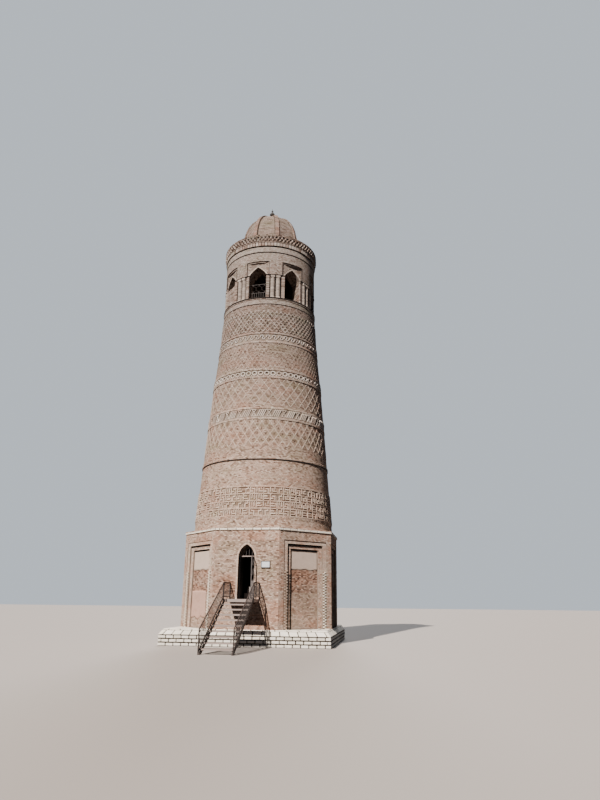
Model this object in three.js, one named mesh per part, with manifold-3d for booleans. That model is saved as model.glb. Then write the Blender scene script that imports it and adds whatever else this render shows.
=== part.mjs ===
// A brick minaret: an octagonal base on a stepped plinth, a round tapering shaft in ornamented bands,
// an open lantern of eight pointed arches, a ribbed dome, and a steel stair up to the doorway.
// Millimetres, +Z up. The origin is on the tower's axis at ground level; the doorway faces -Y.
import * as THREE from 'three';
import { mergeVertices } from 'three/addons/utils/BufferGeometryUtils.js';
import Module from 'manifold-3d';

const wasm = await Module();
wasm.setup();

// The clearance that neighbouring pieces keep, how far a cutting solid runs past what it cuts, and how
// far a bar runs into the bar it is welded to
const GAP = 0.3;
const CUT_PAST = 100;
const LAP = 10;

// Plinth: a square block of three stone courses under a sloping coping
const PLINTH_HALF = 4430;
const PLINTH_BLOCK_TOP = 534;
const PLINTH_TOP = 800;
const COPING_RUN = 205;

// Octagonal base
const BASE_APOTHEM = 4210;
const BASE_WALL = 1150;
const BASE_TOP = 5800;
const STRING_COURSE_HEIGHT = 120;
const STRING_COURSE_OUT = 45;
const OCTANT = Math.PI / 4;
const MITRE = Math.tan(Math.PI / 8);

// Blind niches: stepped recesses, each as half width, top and depth
const NICHE_STEPS = [
  { half: 1430, top: 5300, depth: 35 },
  { half: 1185, top: 5110, depth: 125 },
  { half: 930, top: 4860, depth: 215 },
];

// Doorway
const DOOR_HALF = 435;
const DOOR_SILL = 2280;
const DOOR_SPRING = 4360;
const DOOR_APEX = 5040;
const ARCH_POINTS = 7;

// A keel arch's curve: half * cos(t)^KEEL_ACROSS across and rise * sin(t)^KEEL_UP up, for t from foot to apex
const KEEL_ACROSS = 1.82;
const KEEL_UP = 1.44;

// Door frame, fanlight grille and gate leaf, all of square steel tube
const FRAME_TUBE = 50;
const FRAME_FRONT_Y = -3960;
const FRAME_PLAY = 6;
const TRANSOM_Z = 4440;
const GRILLE_BAR = 16;
const GRILLE_BARS_X = [-240, -80, 80, 240];
const HINGE_X = 410;
const HINGE_Y = -3985;
const HINGE_HEIGHTS = [2620, 4060];
const HINGE_PIN_RADIUS = 8;
const HINGE_BORE_RADIUS = 8.6;
const HINGE_BARREL_RADIUS = 14;
const HINGE_BARREL_HEIGHT = 80;
const HINGE_PIN_HEIGHT = 75;
const HINGE_PLATE = 12;
const HINGE_STRAP_HALF = 4;
const HINGE_SIDES = 16;
const LEAF_TUBE = 40;
const LEAF_START = 20;
const LEAF_END = 785;
const LEAF_BOTTOM = 2315;
const LEAF_TOP = 4400;
const LEAF_BAR = 14;
const LEAF_DIAMONDS = 4;
const LEAF_RING_RADIUS = 150;
const HOOP_SIDES = 12;

// The shaft's outer radius at named heights, and the wall behind it
const SHAFT_OUTLINE = [
  { z: 5800, radius: 4105 },
  { z: 9800, radius: 3820 },
  { z: 15000, radius: 3412 },
  { z: 18000, radius: 3120 },
  { z: 20300, radius: 3020 },
  { z: 24000, radius: 2990 },
];
const SHAFT_WALL_BOTTOM = 1150;
const SHAFT_WALL_TOP = 1050;
const SHAFT_SIDES = 48;
const FLOOR_SIDES = 24;

// The shaft's bands from the string course to the lantern, each with its top and how far it stands out
const SHAFT_BANDS = [
  { name: 'shaft_fret_band', top: 9700, out: 0 },
  { name: 'shaft_belt_course', top: 9860, out: 30 },
  { name: 'shaft_lozenge_band', top: 12110, out: 0 },
  { name: 'shaft_slant_belt', top: 12850, out: 12 },
  { name: 'shaft_lattice_band', top: 14720, out: 0 },
  { name: 'shaft_ring_belt', top: 15350, out: 12 },
  { name: 'shaft_weave_band', top: 17170, out: 0 },
  { name: 'shaft_scroll_belt', top: 17800, out: 12 },
  { name: 'shaft_herringbone_band', top: 19810, out: 0 },
  { name: 'lantern_base', top: 20130, out: 0 },
  { name: 'lantern_sill', top: 20290, out: 22 },
];

// The fret's main lines: one at its foot, one over each row of cells, and an upright in every fourth cell,
// one cell further round in each row
const FRET_FOOT = 6590;
const FRET_TOP = 8200;
const FRET_ROWS = 4;
const FRET_COURSES = 6;
const FRET_CELLS = 68;
const FRET_UPRIGHT_EVERY = 4;
const FRET_LINE_OUT = 45;
const FRET_UPRIGHT_OUT = 40;

// The diamond lattice under the lantern, of which every fourth line is a rib
const LATTICE_FOOT = 17870;
const LATTICE_TOP = 19320;
const LATTICE_DIAMONDS = 72;
const LATTICE_DIAMOND_HEIGHT = 350;
const LATTICE_RIB_EVERY = 4;
const LATTICE_RIB_WIDTH = 60;
const LATTICE_RIB_OUT = 40;
const RELIEF_ROOT = 60;

// Lantern
const LANTERN_TURN = THREE.MathUtils.degToRad(-4.5);
const LANTERN_RADIUS = 2990;
const LANTERN_INNER = 1990;
const LANTERN_FLOOR_THICKNESS = 260;
const LANTERN_SPRING = 21890;
const LANTERN_APEX = 22520;
const LANTERN_TOP = 23600;
const LANTERN_ARCH_HALF = 590;
const PIER_SETBACK = 120;
const PIER_STRIP = 160;
const COLUMN_RADIUS = 110;
const COLUMN_SPREAD = 175;
const COLUMN_SIDES = 6;
const PANEL_HALF = 725;
const PANEL_TOP = 22900;
const PANEL_DEPTH = 60;
const INFILL_BAY = 7;
const INFILL_TOP = 21670;
const INFILL_THICKNESS = 380;
const RAILING_HEIGHT = 1150;
const RAILING_MID = 560;
const RAILING_FOOT_RAIL = 60;
const RAILING_BAR = 24;
const RAILING_SETBACK = 420;
const RAILING_BARS = 8;
const RAILING_RING_RADIUS = 190;

// Cornice, roof and dome
const CORNICE_RINGS = [
  { bottom: 23600, top: 23930, radius: 2985 },
  { bottom: 23930, top: 24250, radius: 3030 },
];
const CORNICE_GROOVE = 55;
const CROWN_TOP = 24770;
const CROWN_RADIUS = 3060;
const CROWN_INNER = 2700;
const DECK_THICKNESS = 280;
const DOME_DRUM_TOP = 25400;
const DOME_RADIUS = 1960;
const DOME_RISE = 2470;
const DOME_FULLNESS = 3.26;
const DOME_ROUNDNESS = 1.82;
const DOME_SHELL = 280;
const DOME_STEPS = 9;
const RIB_WIDTH = 270;
const RIB_OUT = 45;
const FINIAL_SIDES = 12;
const FINIAL_TOP = 29030;

// Bare plaque beside the doorway
const PLAQUE = { x: 1040, z: 4010, width: 480, height: 340, thickness: 60 };

// Inner steps behind the doorway
const INNER_STEPS = { start: -350, run: 190, rise: 315, count: 3, end: 600, front: -3000, back: -2150 };

// Steel stair: one straight flight of open treads and a landing
const STAIR_X = -40;
const STAIR_HALF = 755;
const LANDING_DEPTH = 1240;
const LANDING_PLATE = 40;
const LANDING_EDGE = 140;
const EDGE_WIDTH = 50;
const RISERS = 10;
const FLIGHT_RUN = 3700;
const TREAD_DEPTH = 300;
const TREAD_THICKNESS = 60;
const TREAD_LEAD = 0.42;
const STRINGER_WIDTH = 50;
const STRINGER_DEPTH = 150;
const RAIL_HEIGHT_TOP = 820;
const RAIL_HEIGHT_FOOT = 1050;
const RAIL_TUBE = 40;
const BALUSTER = 14;
const BALUSTER_PITCH = 118;
const LOWER_RAIL_UP = 90;

// Materials
const finish = (colour, roughness, metalness = 0) =>
  new THREE.MeshStandardMaterial({ color: colour, roughness, metalness });
const brick = finish(0xb08d7b, 0.92);
const brickPale = finish(0xbfa08c, 0.92);
const paleStone = finish(0xd9cfc0, 0.85);
const whitewash = finish(0xe2dccb, 0.9);
const mortarFloor = finish(0x8f8478, 0.95);
const steelPaint = finish(0x5d5558, 0.5, 0.4);
const steelGrey = finish(0x8f8d8c, 0.45, 0.5);
const finialMetal = finish(0x3f3c3b, 0.5, 0.7);
const plaqueFace = finish(0xdfe4ea, 0.35, 0.1);

const tower = new THREE.Group();

function add(name, geometry, material, turn = 0) {
  const mesh = new THREE.Mesh(geometry, material);
  mesh.name = name;
  mesh.rotation.z = turn;
  tower.add(mesh);
}

// Simple solids

function block(x0, x1, y0, y1, z0, z1) {
  const box = new THREE.BoxGeometry(x1 - x0, y1 - y0, z1 - z0);
  return box.translate((x0 + x1) / 2, (y0 + y1) / 2, (z0 + z1) / 2);
}

// An upright prism over a plan outline of [x, y] points
function prism(outline, z0, z1) {
  const shape = new THREE.Shape(outline.map(([x, y]) => new THREE.Vector2(x, y)));
  const solid = new THREE.ExtrudeGeometry(shape, { depth: z1 - z0, bevelEnabled: false });
  return solid.translate(0, 0, z0);
}

// A prism over an outline of [x, z] points, running along Y
function prismAlongY(outline, y0, y1) {
  return prism(outline, -y1, -y0).rotateX(Math.PI / 2);
}

// A prism over an outline of [y, z] points, running along X
function prismAlongX(outline, x0, x1) {
  return prism(outline, x0, x1).rotateX(Math.PI / 2).rotateZ(Math.PI / 2);
}

// A turned solid from a profile of [radius, z] points, listed up the outside and down the inside
function turned(profile, sides, start = 0) {
  const points = profile.map(([radius, z]) => new THREE.Vector2(radius, z));
  return new THREE.LatheGeometry(points, sides, start).rotateX(Math.PI / 2);
}

// A ring whose outer and inner radius are each given as [at the bottom, at the top]
function ring(outer, inner, z0, z1, sides = SHAFT_SIDES) {
  const profile = [[outer[0], z0], [outer[1], z1], [inner[1], z1], [inner[0], z0], [outer[0], z0]];
  return turned(profile, sides);
}

// A solid disc, or with few sides a polygonal block, with one corner at the start angle
function disc(radius, z0, z1, sides, start = 0) {
  return turned([[0, z0], [radius, z0], [radius, z1], [0, z1]], sides, start);
}

// Joining and cutting

function solidOf(geometry) {
  const bare = geometry.clone();
  bare.deleteAttribute('normal');
  bare.deleteAttribute('uv');
  const merged = mergeVertices(bare, 1e-3);
  const vertProperties = Float32Array.from(merged.attributes.position.array);
  const triVerts = Uint32Array.from(merged.index.array);
  return new wasm.Manifold(new wasm.Mesh({ numProp: 3, vertProperties, triVerts }));
}

function geometryOf(solid) {
  const mesh = solid.getMesh();
  const geometry = new THREE.BufferGeometry();
  geometry.setAttribute('position', new THREE.BufferAttribute(mesh.vertProperties, 3));
  geometry.setIndex(new THREE.BufferAttribute(mesh.triVerts, 1));
  return geometry;
}

function join(pieces) {
  return geometryOf(pieces.map(solidOf).reduce((sum, piece) => sum.add(piece)));
}

function cut(piece, cutters) {
  return geometryOf(cutters.map(solidOf).reduce((left, cutter) => left.subtract(cutter), solidOf(piece)));
}

// What a piece shares with any of the given ones
function shared(piece, keepers) {
  return geometryOf(solidOf(piece).intersect(solidOf(join(keepers))));
}

// A pointed arch of two arcs, as [x, z] points from the left foot over the apex to the right foot
function pointedArch(half, spring, apex) {
  const rise = apex - spring;
  const radius = (rise * rise + half * half) / (2 * half);
  const sweep = Math.asin(rise / radius);
  const left = [];
  for (let i = 0; i < ARCH_POINTS; i += 1) {
    const angle = (sweep * i) / ARCH_POINTS;
    left.push([-half + radius * (1 - Math.cos(angle)), spring + radius * Math.sin(angle)]);
  }
  const right = left.map(([x, z]) => [-x, z]).reverse();
  return [...left, [0, apex], ...right];
}

// A keel arch, upright at its feet and nearly straight towards its apex, as points like those above
function keelArch(half, spring, apex) {
  const left = [];
  for (let i = 0; i < ARCH_POINTS; i += 1) {
    const angle = (Math.PI * i) / (2 * ARCH_POINTS);
    const x = half * Math.cos(angle) ** KEEL_ACROSS;
    left.push([-x, spring + (apex - spring) * Math.sin(angle) ** KEEL_UP]);
  }
  const right = left.map(([x, z]) => [-x, z]).reverse();
  return [...left, [0, apex], ...right];
}

// Plinth

function makePlinth() {
  const low = PLINTH_HALF;
  add('plinth_block', block(-low, low, -low, low, 0, PLINTH_BLOCK_TOP), whitewash);
  const foot = PLINTH_BLOCK_TOP + GAP;
  const high = low - COPING_RUN;
  const profile = [[0, foot], [low * Math.SQRT2, foot], [high * Math.SQRT2, PLINTH_TOP], [0, PLINTH_TOP]];
  add('plinth_coping', turned(profile, 4, Math.PI / 4), whitewash);
}

// Octagonal base

function wallPlan(from, to) {
  const outer = BASE_APOTHEM * MITRE - GAP;
  const inner = (BASE_APOTHEM - BASE_WALL) * MITRE - GAP;
  const front = -BASE_APOTHEM;
  const back = -BASE_APOTHEM + BASE_WALL;
  return [
    [Math.max(from, -outer), front],
    [Math.min(to, outer), front],
    [Math.min(to, inner), back],
    [Math.max(from, -inner), back],
  ];
}

function makeNicheWalls() {
  const full = prism(wallPlan(-Infinity, Infinity), PLINTH_TOP + GAP, BASE_TOP);
  const recesses = NICHE_STEPS.map(({ half, top, depth }) =>
    block(-half, half, -BASE_APOTHEM - CUT_PAST, -BASE_APOTHEM + depth, PLINTH_TOP - CUT_PAST, top));
  const wall = cut(full, recesses);
  const names = ['right_front', 'right', 'right_back', 'back', 'left_back', 'left', 'left_front'];
  names.forEach((name, i) => add(`base_wall_${name}`, wall, brick, (i + 1) * OCTANT));
}

function makeDoorWall() {
  const foot = PLINTH_TOP + GAP;
  const jamb = DOOR_HALF;
  add('door_wall_left', prism(wallPlan(-Infinity, -jamb), foot, DOOR_SPRING), brick);
  add('door_wall_right', prism(wallPlan(jamb, Infinity), foot, DOOR_SPRING), brick);
  add('door_wall_under_sill', prism(wallPlan(GAP - jamb, jamb - GAP), foot, DOOR_SILL), brick);
  const head = prism(wallPlan(-Infinity, Infinity), DOOR_SPRING + GAP, BASE_TOP);
  const arch = pointedArch(jamb, DOOR_SPRING, DOOR_APEX);
  const opening = [[-jamb, DOOR_SPRING - CUT_PAST], ...arch, [jamb, DOOR_SPRING - CUT_PAST]];
  const front = -BASE_APOTHEM - CUT_PAST;
  const back = -BASE_APOTHEM + BASE_WALL + CUT_PAST;
  add('door_wall_arch', cut(head, [prismAlongY(opening.reverse(), front, back)]), brick);
}

function makeBaseFloor() {
  const apothem = BASE_APOTHEM - BASE_WALL - GAP;
  const corner = apothem / Math.cos(OCTANT / 2);
  add('base_floor', disc(corner, PLINTH_TOP + GAP, DOOR_SILL, 8, OCTANT / 2), mortarFloor);
  const { start, run, rise, count, end, front, back } = INNER_STEPS;
  const floor = DOOR_SILL + GAP;
  const outline = [[end, floor], [end, floor + count * rise]];
  for (let i = count - 1; i >= 0; i -= 1) {
    outline.push([start + i * run, floor + (i + 1) * rise]);
    outline.push([start + i * run, floor + i * rise]);
  }
  add('inner_steps', prismAlongY(outline, front, back), paleStone);
}

function makeStringCourse() {
  const corner = (BASE_APOTHEM + STRING_COURSE_OUT) / Math.cos(OCTANT / 2);
  const z0 = BASE_TOP + GAP;
  const z1 = BASE_TOP + STRING_COURSE_HEIGHT;
  const slab = disc(corner, z0, z1, 8, OCTANT / 2);
  const well = disc(shaftInner(BASE_TOP), z0 - CUT_PAST, z1 + CUT_PAST, FLOOR_SIDES);
  add('string_course', cut(slab, [well]), paleStone);
}

// Shaft

function shaftRadius(z) {
  const upper = SHAFT_OUTLINE.findIndex((level, i) => i > 0 && z <= level.z);
  const high = SHAFT_OUTLINE[upper];
  const low = SHAFT_OUTLINE[upper - 1];
  return low.radius + ((high.radius - low.radius) * (z - low.z)) / (high.z - low.z);
}

function shaftInner(z) {
  const foot = BASE_TOP;
  const share = (z - foot) / (LANTERN_SPRING - foot);
  return shaftRadius(z) - SHAFT_WALL_BOTTOM - (SHAFT_WALL_TOP - SHAFT_WALL_BOTTOM) * Math.min(share, 1);
}

// A thin shell over the shaft's face, rooted in the wall
function reliefShell(z0, z1, out) {
  const outer = [shaftRadius(z0) + out, shaftRadius(z1) + out];
  const inner = [shaftRadius(z0) - RELIEF_ROOT, shaftRadius(z1) - RELIEF_ROOT];
  return ring(outer, inner, z0, z1);
}

// A bar on the shaft's face, standing on the doorway's side and then turned to its place
function faceBar(outline, radius, turn) {
  return prismAlongY(outline, -radius - 2 * RELIEF_ROOT, -radius + 3 * RELIEF_ROOT).rotateZ(turn);
}

function fretWork() {
  const course = (FRET_TOP - FRET_FOOT) / (FRET_ROWS * FRET_COURSES);
  const cell = (2 * Math.PI) / FRET_CELLS;
  const halfWidth = (Math.PI * shaftRadius(FRET_FOOT)) / (FRET_CELLS * FRET_COURSES);
  const lines = [];
  const bars = [];
  for (let row = 0; row <= FRET_ROWS; row += 1) {
    const lineTop = FRET_FOOT + row * FRET_COURSES * course;
    lines.push(reliefShell(lineTop - course, lineTop, FRET_LINE_OUT));
    const foot = lineTop - course / 2;
    const head = foot + FRET_COURSES * course;
    const bar = [[-halfWidth, foot], [halfWidth, foot], [halfWidth, head], [-halfWidth, head]];
    for (let i = row; row < FRET_ROWS && i < FRET_CELLS; i += FRET_UPRIGHT_EVERY) {
      bars.push(faceBar(bar, shaftRadius(foot), Math.PI + (i + 0.5 / FRET_COURSES) * cell));
    }
  }
  const shell = reliefShell(FRET_FOOT - course / 2, FRET_TOP - course / 2, FRET_UPRIGHT_OUT);
  return join([...lines, shared(shell, bars)]);
}

function latticeWork() {
  const step = (2 * Math.PI) / LATTICE_DIAMONDS;
  const middle = (LATTICE_FOOT + LATTICE_TOP) / 2;
  const rise = LATTICE_TOP - middle + RELIEF_ROOT;
  const lean = (step * shaftRadius(middle) * rise) / LATTICE_DIAMOND_HEIGHT;
  const turnToMiddle = (step * (middle - LATTICE_FOOT)) / LATTICE_DIAMOND_HEIGHT;
  const half = LATTICE_RIB_WIDTH / 2;
  const bars = [];
  for (const side of [-1, 1]) {
    const foot = -side * lean;
    const bar = [[foot - half, middle - rise], [foot + half, middle - rise]];
    bar.push([half - foot, middle + rise], [-half - foot, middle + rise]);
    for (let i = 0; i < LATTICE_DIAMONDS; i += LATTICE_RIB_EVERY) {
      bars.push(faceBar(bar, shaftRadius(middle), i * step + side * turnToMiddle));
    }
  }
  return shared(reliefShell(LATTICE_FOOT, LATTICE_TOP, LATTICE_RIB_OUT), bars);
}

function makeShaft() {
  const raised = { shaft_fret_band: fretWork, shaft_herringbone_band: latticeWork };
  let bottom = BASE_TOP + STRING_COURSE_HEIGHT;
  for (const { name, top, out } of SHAFT_BANDS) {
    const z0 = bottom + GAP;
    const outer = [shaftRadius(z0) + out, shaftRadius(top) + out];
    const inner = [shaftInner(z0), shaftInner(top)];
    const band = ring(outer, inner, z0, top);
    add(name, raised[name] ? join([band, raised[name]()]) : band, out > 0 ? brickPale : brick);
    bottom = top;
  }
}

// Lantern

function makeLanternFloor() {
  const top = SHAFT_BANDS.at(-1).top;
  const floor = disc(shaftInner(top) - GAP, top - LANTERN_FLOOR_THICKNESS, top, FLOOR_SIDES);
  add('lantern_floor', floor, mortarFloor);
}

function pierPlan() {
  const half = OCTANT / 2;
  const front = LANTERN_RADIUS - PIER_SETBACK;
  // The jamb of the neighbouring arch, parallel to that arch's own axis, seen from this pier's axis
  const jambPoint = (radius) => {
    const along = Math.sqrt(radius * radius - LANTERN_ARCH_HALF * LANTERN_ARCH_HALF);
    const x = along * Math.sin(half) - LANTERN_ARCH_HALF * Math.cos(half);
    const y = along * Math.cos(half) + LANTERN_ARCH_HALF * Math.sin(half);
    return [x, -y];
  };
  const outer = jambPoint(LANTERN_RADIUS);
  const inner = jambPoint(LANTERN_INNER);
  const side = [outer, [outer[0] - PIER_STRIP, outer[1]], [outer[0] - PIER_STRIP, -front]];
  const column = [];
  for (let i = 0; i <= COLUMN_SIDES; i += 1) {
    const angle = (Math.PI * i) / COLUMN_SIDES;
    const x = COLUMN_SPREAD + COLUMN_RADIUS * Math.cos(angle);
    column.push([x, -front - COLUMN_RADIUS * Math.sin(angle)]);
  }
  const right = [inner, ...side, ...column];
  const left = right.map(([x, y]) => [-x, y]).reverse();
  return [...right, ...left];
}

function makePiers() {
  const foot = SHAFT_BANDS.at(-1).top + GAP;
  const pier = prism(pierPlan(), foot, LANTERN_SPRING);
  for (let i = 0; i < 8; i += 1) {
    add(`lantern_pier_${i + 1}`, pier, brick, LANTERN_TURN + (i + 0.5) * OCTANT);
  }
}

function makeArchRing() {
  const z0 = LANTERN_SPRING + GAP;
  const outer = [LANTERN_RADIUS, LANTERN_RADIUS];
  const inner = [LANTERN_INNER, LANTERN_INNER];
  const band = ring(outer, inner, z0, LANTERN_TOP);
  const foot = z0 - CUT_PAST;
  const arch = keelArch(LANTERN_ARCH_HALF, LANTERN_SPRING, LANTERN_APEX);
  const opening = [[-LANTERN_ARCH_HALF, foot], ...arch, [LANTERN_ARCH_HALF, foot]].reverse();
  const face = -LANTERN_RADIUS - CUT_PAST;
  const tunnel = prismAlongY(opening, face, -LANTERN_INNER + 4 * CUT_PAST);
  const panelBack = -LANTERN_RADIUS * Math.cos(PANEL_HALF / LANTERN_RADIUS) + PANEL_DEPTH;
  const panel = block(-PANEL_HALF, PANEL_HALF, face, panelBack, foot, PANEL_TOP);
  const cutters = [];
  for (let i = 0; i < 8; i += 1) {
    const turn = LANTERN_TURN + i * OCTANT;
    cutters.push(tunnel.clone().rotateZ(turn));
    cutters.push(panel.clone().rotateZ(turn));
  }
  add('lantern_arch_ring', cut(band, cutters), brick);
}

function makeInfill() {
  const foot = SHAFT_BANDS.at(-1).top + GAP;
  const half = LANTERN_ARCH_HALF - GAP;
  const front = -LANTERN_RADIUS + PIER_SETBACK;
  const wall = block(-half, half, front, front + INFILL_THICKNESS, foot, INFILL_TOP);
  add('lantern_arch_infill', wall, brickPale, LANTERN_TURN + INFILL_BAY * OCTANT);
}

// A hoop of round bar that faces -Y
function hoopFacingFront(radius, bar, x, y, z) {
  const hoop = new THREE.TorusGeometry(radius, bar / 2, 4, HOOP_SIDES);
  return hoop.rotateX(Math.PI / 2).translate(x, y, z);
}

// Upright bars below a middle rail, and hoops between that and the top rail
function makeRailing() {
  const foot = SHAFT_BANDS.at(-1).top + GAP;
  const half = LANTERN_ARCH_HALF - GAP;
  const y = -LANTERN_RADIUS + RAILING_SETBACK;
  const bar = RAILING_BAR / 2;
  const low = foot + RAILING_FOOT_RAIL;
  const middle = foot + RAILING_MID;
  const top = foot + RAILING_HEIGHT;
  const upright = (x, z0, z1) => block(x - bar, x + bar, y - bar, y + bar, z0, z1);
  const pieces = [low, middle, top].map((z) => block(-half, half, y - bar, y + bar, z - bar, z + bar));
  pieces.push(upright(-half + bar, foot, top), upright(half - bar, foot, top));
  for (let i = 1; i < RAILING_BARS; i += 1) {
    pieces.push(upright(-half + (2 * half * i) / RAILING_BARS, low, middle));
  }
  const hoopZ = (middle + top) / 2;
  for (const x of [-2 * RAILING_RING_RADIUS, 0, 2 * RAILING_RING_RADIUS]) {
    pieces.push(hoopFacingFront(RAILING_RING_RADIUS, RAILING_BAR, x, y, hoopZ));
    pieces.push(upright(x, hoopZ + RAILING_RING_RADIUS, top));
    pieces.push(upright(x, middle, hoopZ - RAILING_RING_RADIUS));
  }
  add('lantern_railing', join(pieces), steelPaint, LANTERN_TURN);
}

// Cornice, roof and dome

function makeCornice() {
  const foot = CORNICE_RINGS[0].bottom + GAP;
  const top = CORNICE_RINGS.at(-1).top;
  const neck = LANTERN_RADIUS - CORNICE_GROOVE;
  const profile = [];
  for (const { bottom, top: ringTop, radius } of CORNICE_RINGS) {
    const z0 = Math.max(bottom, foot);
    const lip = z0 + CORNICE_GROOVE;
    profile.push([neck, z0], [neck, lip], [radius, lip + CORNICE_GROOVE / 2], [radius, ringTop]);
  }
  profile.push([LANTERN_INNER, top], [LANTERN_INNER, foot], [neck, foot]);
  add('cornice', turned(profile, SHAFT_SIDES), brickPale);
  const crown = ring([CROWN_RADIUS, CROWN_RADIUS], [CROWN_INNER, CROWN_INNER], top + GAP, CROWN_TOP);
  add('cornice_crown', crown, brick);
}

function domePoint(share, radius, rise) {
  const r = radius * Math.sin((share * Math.PI) / 2);
  const z = DOME_DRUM_TOP + rise * (1 - (r / radius) ** DOME_FULLNESS) ** (1 / DOME_ROUNDNESS);
  return [r, z];
}

function domeProfile(radius, rise) {
  const points = [];
  for (let i = DOME_STEPS; i >= 0; i -= 1) {
    points.push(domePoint(i / DOME_STEPS, radius, rise));
  }
  return points;
}

function makeRoof() {
  const deckBottom = CORNICE_RINGS.at(-1).top + GAP;
  const deckTop = deckBottom + DECK_THICKNESS;
  const inner = DOME_RADIUS - DOME_SHELL;
  const well = inner * Math.cos(OCTANT / 2) - GAP;
  const edge = CROWN_INNER - GAP;
  add('roof_deck', ring([edge, edge], [well, well], deckBottom, deckTop, FLOOR_SIDES), mortarFloor);

  const eightSided = (profile) => turned(profile, 8, OCTANT / 2);
  const foot = deckTop + GAP;
  const outside = domeProfile(DOME_RADIUS, DOME_RISE);
  const inside = domeProfile(inner, DOME_RISE - DOME_SHELL);
  const inward = inside.slice().reverse();
  const shell = eightSided([[DOME_RADIUS, foot], ...outside, ...inward, [inner, foot], [DOME_RADIUS, foot]]);

  // A rib stands on each of the eight corners: strips across a slightly larger dome, less the hollow
  const larger = eightSided([[0, DOME_DRUM_TOP], ...domeProfile(DOME_RADIUS + RIB_OUT, DOME_RISE + RIB_OUT)]);
  const below = DOME_DRUM_TOP - CUT_PAST;
  const hollow = eightSided([[0, below], [inner, below], ...inside]);
  const reach = DOME_RADIUS + CUT_PAST;
  const strips = [0, 1, 2, 3].map((i) => {
    const strip = block(-RIB_WIDTH / 2, RIB_WIDTH / 2, -reach, reach, DOME_DRUM_TOP, FINIAL_TOP);
    return strip.rotateZ((i + 0.5) * OCTANT);
  });
  const ribs = solidOf(larger).intersect(solidOf(join(strips))).subtract(solidOf(hollow));
  add('dome', geometryOf(solidOf(shell).add(ribs)), brick);
}

function makeFinial() {
  const seat = DOME_DRUM_TOP + DOME_RISE + RIB_OUT + GAP;
  const profile = [
    [0, seat], [170, seat], [150, seat + 120], [70, seat + 260], [60, seat + 420], [150, seat + 500],
    [185, seat + 580], [150, seat + 660], [55, seat + 730], [45, seat + 800], [80, seat + 850],
    [45, seat + 900], [22, seat + 960], [0, FINIAL_TOP],
  ];
  add('dome_finial', turned(profile, FINIAL_SIDES), finialMetal);
}

// Door frame, gate leaf and plaque

function makeDoorFrame() {
  const edge = DOOR_HALF - GAP;
  const inside = edge - FRAME_TUBE;
  const y0 = FRAME_FRONT_Y;
  const y1 = FRAME_FRONT_Y + FRAME_TUBE;
  const foot = DOOR_SILL + GAP;
  const transomTop = TRANSOM_Z + FRAME_TUBE / 2;
  const transomFoot = TRANSOM_Z - FRAME_TUBE / 2;
  const reachAt = (z) => {
    const rise = DOOR_APEX - DOOR_SPRING;
    const radius = (rise * rise + DOOR_HALF * DOOR_HALF) / (2 * DOOR_HALF);
    const up = Math.max(z - DOOR_SPRING, 0);
    return Math.sqrt(radius * radius - up * up) - radius + DOOR_HALF;
  };
  const transomHalf = reachAt(transomTop) - FRAME_PLAY;
  const pieces = [
    block(-edge, -inside, y0, y1, foot, DOOR_SPRING - LAP),
    block(inside, edge, y0, y1, foot, DOOR_SPRING - LAP),
    block(-transomHalf, -inside + LAP, y0, y1, DOOR_SPRING - FRAME_TUBE, transomTop),
    block(inside - LAP, transomHalf, y0, y1, DOOR_SPRING - FRAME_TUBE, transomTop),
    block(-transomHalf, transomHalf, y0, y1, transomFoot, transomTop),
  ];
  const middle = (y0 + y1) / 2;
  const bar = GRILLE_BAR / 2;
  for (const x of GRILLE_BARS_X) {
    let top = DOOR_APEX;
    while (reachAt(top) < Math.abs(x) + bar + 1) {
      top -= 1;
    }
    pieces.push(block(x - bar, x + bar, middle - bar, middle + bar, transomFoot + LAP, top - 2));
  }
  for (const z of HINGE_HEIGHTS) {
    const half = HINGE_BARREL_RADIUS;
    const plateTop = z - GAP;
    const plateFoot = plateTop - HINGE_PLATE;
    pieces.push(block(HINGE_X - half, HINGE_X + half, HINGE_Y - half, y0 + LAP, plateFoot, plateTop));
    const pin = disc(HINGE_PIN_RADIUS, plateFoot + HINGE_PLATE / 2, z + HINGE_PIN_HEIGHT, HINGE_SIDES);
    pieces.push(pin.translate(HINGE_X, HINGE_Y, 0));
  }
  add('door_frame', join(pieces), steelGrey);
}

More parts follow.
